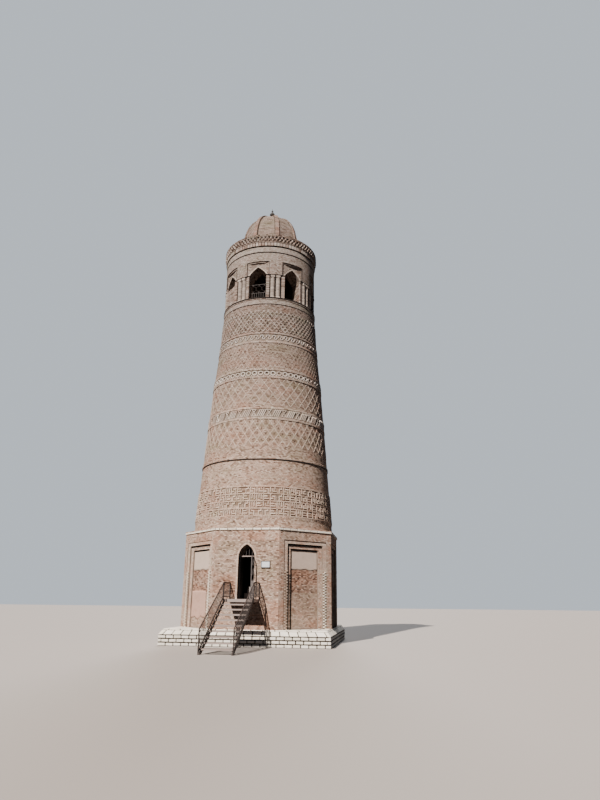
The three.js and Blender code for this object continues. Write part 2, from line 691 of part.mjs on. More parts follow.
// The leaf as photographed: swung out square to the wall, towards -Y from its hinge
function makeGateLeaf() {
  const half = LEAF_TUBE / 2;
  const x0 = HINGE_X - half;
  const x1 = HINGE_X + half;
  const near = HINGE_Y - LEAF_START;
  const far = HINGE_Y - LEAF_END;
  const pieces = [
    block(x0, x1, near - LEAF_TUBE, near, LEAF_BOTTOM, LEAF_TOP),
    block(x0, x1, far, far + LEAF_TUBE, LEAF_BOTTOM, LEAF_TOP),
    block(x0, x1, far, near, LEAF_BOTTOM, LEAF_BOTTOM + LEAF_TUBE),
    block(x0, x1, far, near, LEAF_TOP - LEAF_TUBE, LEAF_TOP),
  ];
  const width = near - far - LEAF_TUBE;
  const centre = (near + far) / 2;
  const low = LEAF_BOTTOM + LEAF_TUBE / 2;
  const cell = (LEAF_TOP - LEAF_BOTTOM - LEAF_TUBE) / LEAF_DIAMONDS;
  const slant = Math.hypot(width, cell);
  const tilt = Math.atan2(cell, width);
  const bar = LEAF_BAR / 2;
  for (let i = 0; i < LEAF_DIAMONDS; i += 1) {
    const z = low + (i + 0.5) * cell;
    for (const angle of [tilt, -tilt]) {
      const rod = block(-bar, bar, -slant / 2, slant / 2, -bar, bar);
      pieces.push(rod.rotateX(angle).translate(HINGE_X, centre, z));
    }
    const hoop = new THREE.TorusGeometry(LEAF_RING_RADIUS, bar, 4, HOOP_SIDES);
    pieces.push(hoop.rotateY(Math.PI / 2).translate(HINGE_X, centre, z));
  }
  const barrels = HINGE_HEIGHTS.flatMap((z) => {
    const top = z + HINGE_BARREL_HEIGHT;
    const barrel = disc(HINGE_BARREL_RADIUS, z, top, HINGE_SIDES).translate(HINGE_X, HINGE_Y, 0);
    const strapHalf = HINGE_STRAP_HALF;
    return [barrel, block(HINGE_X - strapHalf, HINGE_X + strapHalf, near - LAP, HINGE_Y, z, top)];
  });
  const bores = HINGE_HEIGHTS.map((z) => {
    const bore = disc(HINGE_BORE_RADIUS, z - LAP, z + HINGE_BARREL_HEIGHT + LAP, HINGE_SIDES);
    return bore.translate(HINGE_X, HINGE_Y, 0);
  });
  add('gate_leaf', cut(join([...pieces, ...barrels]), bores), steelGrey);
}

function makePlaque() {
  const { x, z, width, height, thickness } = PLAQUE;
  const back = -BASE_APOTHEM - GAP;
  const plate = block(x - width / 2, x + width / 2, back - thickness, back, z - height / 2, z + height / 2);
  add('plaque', plate, plaqueFace);
}

// Steel stair

function stairLevels() {
  const landingBack = -BASE_APOTHEM - GAP;
  const landingFront = landingBack - LANDING_DEPTH;
  const foot = landingFront - FLIGHT_RUN;
  return { landingBack, landingFront, foot, rise: DOOR_SILL / RISERS, run: FLIGHT_RUN / RISERS };
}

function makeLanding() {
  const { landingBack, landingFront } = stairLevels();
  const left = STAIR_X - STAIR_HALF;
  const right = STAIR_X + STAIR_HALF;
  const under = DOOR_SILL - LANDING_EDGE;
  add('stair_landing', join([
    block(left, right, landingFront, landingBack, DOOR_SILL - LANDING_PLATE, DOOR_SILL),
    block(left, left + EDGE_WIDTH, landingFront, landingBack, under, DOOR_SILL - LAP),
    block(right - EDGE_WIDTH, right, landingFront, landingBack, under, DOOR_SILL - LAP),
    block(left, right, landingFront, landingFront + EDGE_WIDTH, under, DOOR_SILL - LAP),
    block(left, right, landingBack - EDGE_WIDTH, landingBack, under, DOOR_SILL - LAP),
  ]), steelPaint);
}

function makeFlight() {
  const { landingFront, foot, rise, run } = stairLevels();
  const left = STAIR_X - STAIR_HALF;
  const right = STAIR_X + STAIR_HALF;
  const slope = DOOR_SILL / FLIGHT_RUN;
  const top = landingFront - GAP;
  const drop = STRINGER_DEPTH * Math.hypot(1, slope);
  const outline = [
    [foot, 0], [foot + drop / slope, 0], [top, DOOR_SILL - drop], [top, DOOR_SILL - LAP], [foot, 2 * LAP],
  ];
  const pieces = [
    prismAlongX(outline, left, left + STRINGER_WIDTH),
    prismAlongX(outline, right - STRINGER_WIDTH, right),
  ];
  for (let i = 1; i < RISERS; i += 1) {
    const z = i * rise;
    const nose = foot + (i - TREAD_LEAD) * run;
    pieces.push(block(left + LAP, right - LAP, nose, nose + TREAD_DEPTH, z - TREAD_THICKNESS, z));
  }
  add('stair_flight', join(pieces), steelPaint);
}

// A balustrade between two ends, each with its place y, the walking line's height there, the foot of
// its post and the top of its handrail
function balustrade(x, from, to) {
  const half = RAIL_TUBE / 2;
  const thin = BALUSTER / 2;
  const between = (share, a, b) => a + (b - a) * share;
  const slopedRail = (lowA, lowB) => {
    const outline = [[from.y, lowA], [to.y, lowB], [to.y, lowB + RAIL_TUBE], [from.y, lowA + RAIL_TUBE]];
    return prismAlongX(outline, x - half, x + half);
  };
  const pieces = [
    slopedRail(from.top - RAIL_TUBE, to.top - RAIL_TUBE),
    slopedRail(from.walk + LOWER_RAIL_UP, to.walk + LOWER_RAIL_UP),
    block(x - half, x + half, from.y, from.y + RAIL_TUBE, from.foot, from.top - LAP),
    block(x - half, x + half, to.y - RAIL_TUBE, to.y, to.foot, to.top - RAIL_TUBE / 2),
  ];
  const count = Math.round((to.y - from.y) / BALUSTER_PITCH);
  for (let i = 1; i < count; i += 1) {
    const y = between(i / count, from.y, to.y);
    const low = between(i / count, from.walk, to.walk) + LOWER_RAIL_UP + LAP;
    const high = between(i / count, from.top, to.top) - LAP;
    pieces.push(block(x - thin, x + thin, y - thin, y + thin, low, high));
  }
  return join(pieces);
}

function makeBalustrades() {
  const { landingBack, landingFront, foot } = stairLevels();
  const beside = STAIR_HALF + RAIL_TUBE / 2 + GAP;
  const railTop = DOOR_SILL + RAIL_HEIGHT_TOP;
  const under = DOOR_SILL - LANDING_EDGE;
  for (const [side, x] of Object.entries({ left: STAIR_X - beside, right: STAIR_X + beside })) {
    const edge = { walk: DOOR_SILL, foot: under, top: railTop };
    const landing = balustrade(x, { y: landingFront + GAP, ...edge }, { y: landingBack, ...edge });
    add(`landing_balustrade_${side}`, landing, steelPaint);
    const bottom = { y: foot, walk: 0, foot: 0, top: RAIL_HEIGHT_FOOT };
    const flight = balustrade(x, bottom, { y: landingFront - GAP, ...edge });
    add(`flight_balustrade_${side}`, flight, steelPaint);
  }
}

makePlinth();
makeNicheWalls();
makeDoorWall();
makeBaseFloor();
makeStringCourse();
makeShaft();
makeLanternFloor();
makePiers();
makeArchRing();
makeInfill();
makeRailing();
makeCornice();
makeRoof();
makeFinial();
makeDoorFrame();
makeGateLeaf();
makePlaque();
makeLanding();
makeFlight();
makeBalustrades();

export default tower;
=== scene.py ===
"""The looks of a brick minaret: whitewashed stone plinth, octagonal base with blind niches, round shaft laid
in ornamented bands, arched lantern, ribbed dome, and a steel stair and gate at the doorway. Metres, +Z up."""
import math
import random

import bpy
from mathutils import Matrix, Vector, noise


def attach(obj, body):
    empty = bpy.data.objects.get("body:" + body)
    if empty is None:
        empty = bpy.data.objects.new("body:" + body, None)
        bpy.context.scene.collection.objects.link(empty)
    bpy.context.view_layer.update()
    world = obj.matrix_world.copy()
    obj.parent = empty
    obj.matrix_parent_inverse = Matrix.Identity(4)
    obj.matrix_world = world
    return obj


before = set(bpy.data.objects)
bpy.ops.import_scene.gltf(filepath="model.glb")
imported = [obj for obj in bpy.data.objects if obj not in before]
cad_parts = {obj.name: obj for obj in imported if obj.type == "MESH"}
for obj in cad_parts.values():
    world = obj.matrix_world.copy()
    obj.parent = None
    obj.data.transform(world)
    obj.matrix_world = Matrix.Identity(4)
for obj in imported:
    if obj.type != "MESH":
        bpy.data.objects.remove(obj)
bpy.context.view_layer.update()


# Camera, light and floor
# The viewer stands on level ground, right of the stair and 37 m from the tower, and looks up at it.
# A hard sun stands high in front on the left, a dim sky fills the shade, and a broad soft lamp lights
# the far side. The pale floor throws no light back, so the shade stays deep.

def linear(hex_colour):
    """A colour written as sRGB hex, in Blender's linear numbers."""
    channels = [(hex_colour >> shift & 255) / 255 for shift in (16, 8, 0)]
    return [c / 12.92 if c <= 0.04045 else ((c + 0.055) / 1.055) ** 2.4 for c in channels] + [1.0]


def add_node(tree, kind, inputs=None, out=0, stops=(), **settings):
    """Adds a node with its settings and links, and gives one of its outputs. Each input is a value or a
    socket, and stops are a colour ramp's (place, colour or grey)."""
    made = tree.nodes.new(kind)
    for name, value in settings.items():
        setattr(made, name, value)
    for key, value in (inputs or {}).items():
        if isinstance(value, bpy.types.NodeSocket):
            tree.links.new(value, made.inputs[key])
        else:
            made.inputs[key].default_value = value
    for _ in stops[2:]:
        made.color_ramp.elements.new(0.5)
    for i, (place, tint) in enumerate(stops):
        element = made.color_ramp.elements[i]
        element.position = place
        element.color = tint if isinstance(tint, list) else (tint, tint, tint, 1.0)
    return made.outputs[out]


def plain_material(name):
    """A new material, its node tree and its surface shader."""
    made = bpy.data.materials.new(name)
    made.use_nodes = True
    return made, made.node_tree, made.node_tree.nodes["Principled BSDF"]


def link_object(name, data):
    made = bpy.data.objects.new(name, data)
    bpy.context.scene.collection.objects.link(made)
    return made


def new_piece(name, points, faces, tones=None):
    """An object with a mesh of its own, where each point may have a tone."""
    mesh = bpy.data.meshes.new(name)
    mesh.from_pydata(points, [], faces)
    if tones:
        mesh.attributes.new("tone", "FLOAT", "POINT").data.foreach_set("value", tones)
    return link_object(name, mesh)


eye = Vector((7.585, -35.99, 2.27))
heading = math.radians(98.62)
look_up = math.radians(18.422)
lean_right = math.radians(0.518)
level = Vector((math.sin(heading), -math.cos(heading), 0))
ahead = Vector((math.cos(heading), math.sin(heading), math.tan(look_up))).normalized()
above = level.cross(ahead)
right = level * math.cos(lean_right) + above * math.sin(lean_right)
up = above * math.cos(lean_right) - level * math.sin(lean_right)
camera = link_object("camera", bpy.data.cameras.new("camera"))
camera.data.lens = 27
camera.data.sensor_width = 36
camera.data.clip_end = 600
camera.matrix_world = Matrix.Translation(eye) @ Matrix((right, up, -ahead)).transposed().to_4x4()
bpy.context.scene.camera = camera


def far_lamp(name, energy, degrees_wide, tint, towards):
    """A lamp as far off as the sun, seen as a disc so many degrees wide."""
    lamp = link_object(name, bpy.data.lights.new(name, "SUN"))
    lamp.data.energy = energy
    lamp.data.angle = math.radians(degrees_wide)
    lamp.data.color = linear(tint)[:3]
    lamp.rotation_euler = Vector(towards).to_track_quat("Z", "Y").to_euler()


sun_left = math.radians(16.5)
sun_height = math.radians(41)
far_lamp("sun", 9.0, 0.8, 0xFFF4EA, (-math.sin(sun_left), -math.cos(sun_left), math.tan(sun_height)))
far_lamp("back lamp", 2.5, 15, 0xF3F1F2, (-0.12, 0.86, 0.5))

# The sky fills the shade, warm from below and blue from above, and the camera sees an even pale backdrop
sky = bpy.data.worlds.new("sky")
sky.use_nodes = True
air = sky.node_tree
fill = air.nodes["Background"]
way = add_node(air, "ShaderNodeTexCoord", out="Generated")
height = add_node(air, "ShaderNodeSeparateXYZ", {0: way}, "Z")
from_above = add_node(air, "ShaderNodeMapRange", {"Value": height, "From Min": -0.1, "From Max": 0.1})
fill_tint = add_node(air, "ShaderNodeMix", {0: from_above, 6: linear(0xC9AFA0), 7: linear(0xA9BBD2)}, 2,
                     data_type="RGBA")
air.links.new(fill_tint, fill.inputs["Color"])
fill.inputs["Strength"].default_value = 0.18
backdrop = add_node(air, "ShaderNodeBackground", {"Color": linear(0xCDD6DF)})
seen = add_node(air, "ShaderNodeLightPath", out="Is Camera Ray")
shown = add_node(air, "ShaderNodeMixShader", {0: seen, 1: fill.outputs[0], 2: backdrop})
air.links.new(shown, air.nodes["World Output"].inputs["Surface"])
bpy.context.scene.world = sky

floor_half = 160
floor_level = -0.002
floor_corners = [(x, y, floor_level) for x in (-floor_half, floor_half) for y in (-floor_half, floor_half)]
floor = new_piece("floor", floor_corners, [(0, 2, 3, 1)])
floor_finish, _, floor_surface = plain_material("pale matt studio floor")
floor_surface.inputs["Base Color"].default_value = linear(0xA9A29C)
floor_surface.inputs["Roughness"].default_value = 0.9
floor.data.materials.append(floor_finish)
floor.visible_diffuse = False


# Fired brick and lime mortar
# The tower is laid in thin fired bricks in lime mortar. The clay fired unevenly, so each brick has its own
# tone from grey brown to pale tan; wide patches are redder or greyer, smoke has greyed the upper half, and
# faces are dusty, speckled and rough. The mortar is gritty, struck flush and stained.

multiply = {"data_type": "RGBA", "blend_type": "MULTIPLY"}


def tint_by_tone(tree, tints):
    """One of a finish's tints, from the darkest to the palest, by the tone of each brick or stone."""
    tone = add_node(tree, "ShaderNodeAttribute", out="Fac", attribute_name="tone")
    stops = [(i / (len(tints) - 1), linear(tint)) for i, tint in enumerate(tints)]
    return add_node(tree, "ShaderNodeValToRGB", {0: tone}, stops=stops)


def grainy_face(tree, surface, tint, grain, shades, roughness, gloss, strength, relief):
    """Ends a mineral finish: its grain shades the tint and stands out in metres of relief."""
    shade = add_node(tree, "ShaderNodeValToRGB", {0: grain}, stops=shades)
    tree.links.new(add_node(tree, "ShaderNodeMix", {0: 1.0, 6: tint, 7: shade}, 2, **multiply),
                   surface.inputs["Base Color"])
    surface.inputs["Roughness"].default_value = roughness
    surface.inputs["Specular IOR Level"].default_value = gloss
    bump = add_node(tree, "ShaderNodeBump", {"Height": grain, "Strength": strength, "Distance": relief})
    tree.links.new(bump, surface.inputs["Normal"])


def fired_brick(name, tints):
    """Weathered fired brick: each brick has its tone and blush, in patches of red, grey, smoke and dust."""
    made, tree, surface = plain_material(name)
    place = add_node(tree, "ShaderNodeTexCoord", out="Object")
    blush = add_node(tree, "ShaderNodeAttribute", out="Fac", attribute_name="blush")
    flat = add_node(tree, "ShaderNodeMapping", {"Vector": place, "Scale": (1, 1, 2.5)})
    patches = add_node(tree, "ShaderNodeTexNoise",
                       {"Vector": flat, "Scale": 0.55, "Detail": 4, "Roughness": 0.65})
    warmth = add_node(tree, "ShaderNodeMath", {0: patches, 1: blush}, operation="ADD")
    redder = add_node(tree, "ShaderNodeValToRGB", {0: warmth}, stops=((0.52, 0), (0.76, 0.7)))
    greyer = add_node(tree, "ShaderNodeValToRGB", {0: warmth}, stops=((0.26, 0.9), (0.48, 0)))
    high_up = add_node(tree, "ShaderNodeSeparateXYZ", {0: place}, "Z")
    smoked = add_node(tree, "ShaderNodeMapRange", {"Value": high_up, "From Min": 9.0, "From Max": 19.0})
    tint = tint_by_tone(tree, tints)
    for share, wash in ((redder, 0xECC6B4), (greyer, 0xD6DCCC), (smoked, 0xCAD0D8)):
        tint = add_node(tree, "ShaderNodeMix", {0: share, 6: tint, 7: linear(wash)}, 2, **multiply)
    dust = add_node(tree, "ShaderNodeTexNoise", {"Vector": place, "Scale": 9, "Detail": 5, "Roughness": 0.7})
    dusting = add_node(tree, "ShaderNodeValToRGB", {0: dust}, stops=((0.52, 0), (0.75, 0.2)))
    tint = add_node(tree, "ShaderNodeMix", {0: dusting, 6: tint, 7: linear(0xCDC0B2)}, 2, data_type="RGBA")
    spots = add_node(tree, "ShaderNodeTexNoise",
                     {"Vector": place, "Scale": 15, "Detail": 2, "Roughness": 0.6})
    speckle = add_node(tree, "ShaderNodeValToRGB", {0: spots}, stops=((0.3, 0.86), (0.5, 1), (0.7, 1.06)))
    tint = add_node(tree, "ShaderNodeMix", {0: 1.0, 6: tint, 7: speckle}, 2, **multiply)
    grain = add_node(tree, "ShaderNodeTexNoise",
                     {"Vector": place, "Scale": 70, "Detail": 6, "Roughness": 0.75})
    grainy_face(tree, surface, tint, grain, ((0.25, 0.72), (0.5, 1), (0.8, 1.12)), 0.93, 0.25, 0.7, 0.004)
    return made


def lime_mortar(name, light, dark):
    """Lime mortar, struck flush and weathered grey in the joints."""
    made, tree, surface = plain_material(name)
    place = add_node(tree, "ShaderNodeTexCoord", out="Object")
    stain = add_node(tree, "ShaderNodeTexNoise",
                     {"Vector": place, "Scale": 1.3, "Detail": 6, "Roughness": 0.65})
    tint = add_node(tree, "ShaderNodeValToRGB", {0: stain},
                    stops=((0.35, linear(dark)), (0.65, linear(light))))
    grit = add_node(tree, "ShaderNodeTexNoise", {"Vector": place, "Scale": 110, "Detail": 4})
    grainy_face(tree, surface, tint, grit, ((0.3, 0.75), (0.6, 1.05)), 0.95, 0.2, 0.6, 0.003)
    return made


brick_finish = fired_brick("weathered fired brick", (0x5D473D, 0x977F6E, 0xBDA595, 0xCBB6A7, 0xDDCCBD))
mortar_finish = lime_mortar("weathered lime mortar", 0x94867A, 0x6B5F55)

course = 0.066
brick_length = 0.26
header_length = 0.13
joint = 0.012
face_out = 0.008
half_turn = math.pi


def start_rule(name, **sockets):
    """A new Geometry Nodes tree and its named inputs, each given with its kind."""
    tree = bpy.data.node_groups.new(name, "GeometryNodeTree")
    for socket, kind in sockets.items():
        tree.interface.new_socket(socket, in_out="INPUT", socket_type=f"NodeSocket{kind}")
    tree.interface.new_socket("Made", in_out="OUTPUT", socket_type="NodeSocketGeometry")
    return tree, tree.nodes.new("NodeGroupInput").outputs


def end_rule(tree, placed, finish):
    """Makes what a tree has placed real, in its finish, and sends it out."""
    real = add_node(tree, "GeometryNodeRealizeInstances", {0: placed})
    painted = add_node(tree, "GeometryNodeSetMaterial", {"Geometry": real, "Material": finish})
    tree.links.new(painted, tree.nodes.new("NodeGroupOutput").inputs[0])
    return tree


def brick_layer():
    """Geometry Nodes that set one brick on each point, by the point's size and turn, a little out of true."""
    tree, given = start_rule("brick layer", Points="Geometry", Joint="Float", Unevenness="Float",
                             Twist="Float", Seed="Int", Finish="Material")
    full, turn = (add_node(tree, "GeometryNodeInputNamedAttribute", {"Name": name}, data_type="FLOAT_VECTOR")
                  for name in ("size", "turn"))
    gap = add_node(tree, "ShaderNodeCombineXYZ", {"X": given["Joint"], "Z": given["Joint"]})
    size = add_node(tree, "ShaderNodeVectorMath", {0: full, 1: gap}, operation="SUBTRACT")
    limits = {"Min": (-1, -1, -0.5), "Max": (1, 1, 0.5), "Seed": given["Seed"]}
    uneven = add_node(tree, "FunctionNodeRandomValue", limits, data_type="FLOAT_VECTOR")
    slip, twist = (add_node(tree, "ShaderNodeVectorMath", {0: uneven, "Scale": share}, operation="SCALE")
                   for share in (given["Unevenness"], given["Twist"]))
    moved = add_node(tree, "GeometryNodeSetPosition", {"Geometry": given["Points"], "Offset": slip})
    turned = add_node(tree, "ShaderNodeVectorMath", {0: turn, 1: twist}, operation="ADD")
    brick = add_node(tree, "GeometryNodeMeshCube", {"Size": (1, 1, 1)})
    laid = add_node(tree, "GeometryNodeInstanceOnPoints",
                    {"Points": moved, "Instance": brick, "Rotation": turned, "Scale": size})
    return end_rule(tree, laid, given["Finish"])


brick_tree = brick_layer()


def keep_made(piece):
    """Keeps what a piece's modifier makes as its plain mesh."""
    depsgraph = bpy.context.evaluated_depsgraph_get()
    made = bpy.data.meshes.new_from_object(piece.evaluated_get(depsgraph), depsgraph=depsgraph)
    piece.modifiers.clear()
    piece.data = made


def make_by_rule(piece, tree, **values):
    """Runs a Geometry Nodes tree on a piece, with its inputs' values, and keeps what it makes."""
    modifier = piece.modifiers.new("made by rule", "NODES")
    modifier.node_group = tree
    for socket in tree.interface.items_tree:
        if socket.name in values:
            modifier[socket.identifier] = values[socket.name]
    keep_made(piece)


def finished(piece, finish):
    """Gives a piece its finish and lets it ride on the tower."""
    piece.data.materials.clear()
    piece.data.materials.append(finish)
    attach(piece, "tower")
    return piece


def lay(name, bricks, finish=brick_finish, gap=joint, uneven=0.0025):
    """Lays bricks, each (centre, size, turn, tone, blush), as one piece on the tower."""
    piece = new_piece(name, [brick[0] for brick in bricks], [])
    for column, key in enumerate(("size", "turn"), 1):
        stored = piece.data.attributes.new(key, "FLOAT_VECTOR", "POINT")
        stored.data.foreach_set("vector", [number for brick in bricks for number in brick[column]])
    for column, key in enumerate(("tone", "blush"), 3):
        stored = piece.data.attributes.new(key, "FLOAT", "POINT")
        stored.data.foreach_set("value", [brick[column] for brick in bricks])
    make_by_rule(piece, brick_tree, Joint=gap, Unevenness=uneven, Twist=0.006, Seed=1, Finish=finish)
    for done in ("size", "turn"):
        piece.data.attributes.remove(piece.data.attributes[done])
    return finished(piece, finish)


chance = random.Random(11)


def tone(bias=0.0, spread=1.0, blush=0.0):
    """A brick's tone, 0 dark to 1 pale and mostly middling, and its blush: above 0 redder, below 0 greyer."""
    value = 0.5 + bias + spread * (chance.random() + chance.random() - 1) * 0.6
    return min(max(value, 0.0), 1.0), blush + (chance.random() - 0.5) * 0.14


def round_wall(radius_at):
    """A round wall: u is the angle from the doorway's side, and one step of it is the radius long."""
    def place(u, z, out):
        radius = radius_at(z)
        return Vector(((radius + out) * math.sin(u), -(radius + out) * math.cos(u), z)), u, radius
    return place


def brick_at(place, u0, u1, z0, z1, out, shade, depth=0.05):
    """One brick from u0 to u1 and z0 to z1, with its face standing out from the wall."""
    centre, turn, scale = place((u0 + u1) / 2, (z0 + z1) / 2, out - depth / 2)
    return centre, ((u1 - u0) * scale, depth, z1 - z0), (0, 0, turn), *shade


def bond(start, end, length, shift):
    """Cuts a course into bricks: (from, to) pairs, with the first joint moved by a share of a length."""
    cuts = [start]
    at = start + length * (shift if shift > 0.3 else 1)
    while at < end - 0.35 * length:
        cuts.append(at)
        at += length
    cuts.append(end)
    return list(zip(cuts, cuts[1:]))


def courses_between(low, high):
    """The courses that fill a height, each as (bottom, top)."""
    count = max(round((high - low) / course), 1)
    step = (high - low) / count
    return [(low + i * step, low + (i + 1) * step) for i in range(count)]


def course_of(bricks, place, low, high, u0, u1, raised=(), out=face_out, relief=0.03, bias=0.0, lift=0.1,
              length=brick_length, shift=0.5, blush=0.0, depth=0.05, spread=1.0):
    """One course: raised bricks at the given (from, to) pairs, and plain bricks in between."""
    scale = place(0, low, 0)[2]
    at = u0
    for start, end in [*raised, (u1, u1)]:
        if start - at > 0.02 / scale:
            for a, b in bond(at, start, length / scale, shift):
                bricks.append(brick_at(place, a, b, low, high, out, tone(bias, spread, blush), depth))
        for a, b in bond(start, end, brick_length / scale, 0) if end > start else ():
            shade = tone(bias + lift, 0.8 * spread, blush)
            bricks.append(brick_at(place, a, b, low, high, out + relief, shade, depth))
        at = max(at, end)


# Stones, tiles and slabs
# Pieces that aren't plain bricks are cut blocks with eased edges, so each is a solid with eight corners,
# slightly out of true, whose edges are worn round.

def flat_wall(turn, distance):
    """A flat wall that faces out at a turn from the doorway's side: u is metres to the right."""
    out_way = Vector((math.sin(turn), -math.cos(turn), 0))
    along = Vector((math.cos(turn), math.sin(turn), 0))

    def place(u, z, out):
        return out_way * (distance + out) + along * u + Vector((0, 0, z)), turn, 1.0
    return place


def block_on(place, corners, out, depth):
    """Eight corners: four (u, z) ones on a wall's face, counter-clockwise from outside, and four behind."""
    front = [place(u, z, out)[0] for u, z in corners]
    back = [place(u, z, out - depth)[0] for u, z in corners]
    return front + back


def upright(u0, u1, z0, z1):
    """The (u, z) corners of an upright rectangle."""
    return (u0, z0), (u1, z0), (u1, z1), (u0, z1)


block_faces = ((0, 1, 2, 3), (7, 6, 5, 4), (0, 4, 5, 1), (1, 5, 6, 2), (2, 6, 7, 3), (3, 7, 4, 0))


def cut_stones(name, blocks, finish, bevel=0.008, uneven=0.004):
    """One piece from eight-cornered blocks, each with its own tone and with eased edges."""
    points, faces, tones = [], [], []
    for block in blocks:
        start = len(points)
        tones += [tone()[0]] * len(block)
        for corner in block:
            slip = Vector([(chance.random() - 0.5) * uneven for _ in range(3)])
            points.append(Vector(corner) + slip)
        faces += [tuple(start + i for i in face) for face in block_faces]
    piece = new_piece(name, points, faces, tones)
    if bevel:
        edge = piece.modifiers.new("eased edges", "BEVEL")
        edge.width = bevel
        edge.limit_method = "NONE"
        edge.segments = 1
        keep_made(piece)
    return finished(piece, finish)


def dressed_stone(name, tints, stain, roughness=0.85, streak=0.5):
    """Cut stone or rubbed brick, with a chalky face: each block has its tone, and rain leaves stains."""
    made, tree, surface = plain_material(name)
    place = add_node(tree, "ShaderNodeTexCoord", out="Object")
    spots = add_node(tree, "ShaderNodeTexNoise",
                     {"Vector": place, "Scale": 3.2, "Detail": 8, "Roughness": 0.72})
    share = add_node(tree, "ShaderNodeValToRGB", {0: spots}, stops=((0.5, 0), (0.72, streak)))
    tint = add_node(tree, "ShaderNodeMix", {0: share, 6: tint_by_tone(tree, tints), 7: linear(stain)}, 2,
                    data_type="RGBA")
    grain = add_node(tree, "ShaderNodeTexNoise",
                     {"Vector": place, "Scale": 45, "Detail": 7, "Roughness": 0.7})
    grainy_face(tree, surface, tint, grain, ((0.3, 0.82), (0.55, 1), (0.8, 1.06)), roughness, 0.3, 0.8, 0.005)
    return made


# Painted shade is a dull, nearly black coat laid where shadow falls in recesses; smoke turns the upper mortar
# a dark grey brown, and inside the lantern that dark mortar is also painted shade
painted_shade = dressed_stone("painted shade in recesses", (0x120E0C, 0x1E1815, 0x2B231F), 0x2E2621, 0.95, 0.4)
smoky_mortar_and_shade = lime_mortar("smoke-stained lime mortar, painted shade in the lantern", 0x756A5F, 0x4B423A)


def refinish(finish, *names):
    """Gives CAD nodes a finish; their shape is left as it is."""
    for name in names:
        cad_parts[name].data.materials.clear()
        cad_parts[name].data.materials.append(finish)


# Plinth
# A square of three stone courses in running bond carries a sloping coping of longer stones. The stones
# are whitewashed by hand, so they are chalky white with grey stains, and the joints are dark mortar.

whitewash = dressed_stone("brushed whitewash on stone", (0xE2DCCE, 0xF3EDE0, 0xFCF8EF), 0xA9A194)
dark_joint_and_shade = lime_mortar("dirty cement joint, painted shade under the string course", 0x3B342C, 0x231F1B)

plinth_half = 4.43
plinth_block_top = 0.534
plinth_top = 0.8
plinth_rows = 3
coping_run = 0.205
base_apothem = 4.21
face_half = base_apothem * math.tan(math.pi / 8)
stone_length = 0.41
stone_depth = 0.16
stone_joint = 0.045
stone_out = 0.012
foot_gap = 0.008
quarter = math.pi / 2

plinth_stones = []
for side in range(4):
    face = flat_wall(side * quarter, plinth_half)
    for row in range(plinth_rows):
        long_side = (side + row) % 2 == 0
        end = plinth_half + stone_out - (0 if long_side else stone_depth)
        z0 = plinth_block_top / plinth_rows * row
        z1 = z0 + plinth_block_top / plinth_rows - stone_joint
        for u0, u1 in bond(-end, end, stone_length, 0):
            ends = [u if abs(u) > plinth_half else u + half_joint
                    for u, half_joint in ((u0, stone_joint / 2), (u1, -stone_joint / 2))]
            plinth_stones.append(block_on(face, upright(*ends, z0 + foot_gap, z1), stone_out, stone_depth))
cut_stones("plinth_stones", plinth_stones, whitewash, bevel=0.014, uneven=0.012)

# Two rows of coping stones, from and to as shares of the slope, and how long the stones are
coping_rows = ((0.0, 0.74, 0.47), (0.78, 1.0, 0.62))
coping_inward = 0.08
coping_down = 0.06
at_corner = 0.01
coping_stones = []
for side in range(4):
    turn = side * quarter
    inward = flat_wall(turn, -coping_inward)(0, -coping_down, 0)[0]
    for foot, head, length in coping_rows:
        half0, half1 = (plinth_half + stone_out - coping_run * share for share in (foot, head))
        low, high = (plinth_block_top + (plinth_top - plinth_block_top) * share for share in (foot, head))
        for u0, u1 in bond(-1.0, 1.0, length / half0, 0.5):
            middle_u = (u0 + u1) / 2 * half0
            front = []
            for share, half, z in ((u0, half0, low), (u1, half0, low), (u1, half1, high), (u0, half1, high)):
                u = share * half
                if abs(u) < half - at_corner:
                    u += math.copysign(stone_joint / 2, middle_u - u)
                front.append(flat_wall(turn, half)(u, z + stone_out, 0)[0])
            coping_stones.append(front + [corner + inward for corner in front])
cut_stones("coping_stones", coping_stones, whitewash, bevel=0.012, uneven=0.008)

# Slabs floor the square's four corners, cut along the slanting walls of the octagon
slabs_in_corner = 5
slab_thick = 0.05
wall_gap = 0.03
plinth_reach = plinth_half - coping_run
first_slab = face_half + 0.08
slab_pitch = (plinth_reach - first_slab) / slabs_in_corner
corner_slabs = []
for side in range(4):
    turn = Matrix.Rotation(side * quarter, 3, "Z")
    for i in range(slabs_in_corner):
        x0 = first_slab + slab_pitch * i
        x1 = first_slab + slab_pitch * (i + 1) - stone_joint
        flat = [(x0, -plinth_reach), (x1, -plinth_reach)]
        flat += [(x, x - face_half - base_apothem - wall_gap) for x in (x1, x0)]
        top = [turn @ Vector((x, max(y, at_corner - plinth_reach), plinth_top + stone_out)) for x, y in flat]
        corner_slabs.append(top + [corner - Vector((0, 0, slab_thick)) for corner in top])
cut_stones("plinth_corner_slabs", corner_slabs, whitewash, bevel=0.006, uneven=0.003)
refinish(dark_joint_and_shade, "plinth_block", "plinth_coping")


# Octagonal base
# Eight brick walls, seven with a tall blind niche that steps back three times and one with the doorway.
# Dog-tooth strips frame the niches, their upper panels are plastered beige, two have pink plaster patches,
# painted shade lies in their sunless corners and under their heads, and the octagon's corner bricks are
# redder.

base_foot = plinth_top
base_top = 5.8
eighth = math.pi / 4

# Each step of a niche: half its width, its top and how deep it lies
niche_steps = ((1.43, 5.3, 0.035), (1.185, 5.11, 0.125), (0.93, 4.86, 0.215))
teeth_top = 3.74
strip_wide = 0.2
tooth_pitch = 0.071
shade_side = 0.13
shade_head = 0.09
shade_out = 0.02
edge_brick = 0.045
rough_foot = 2.63


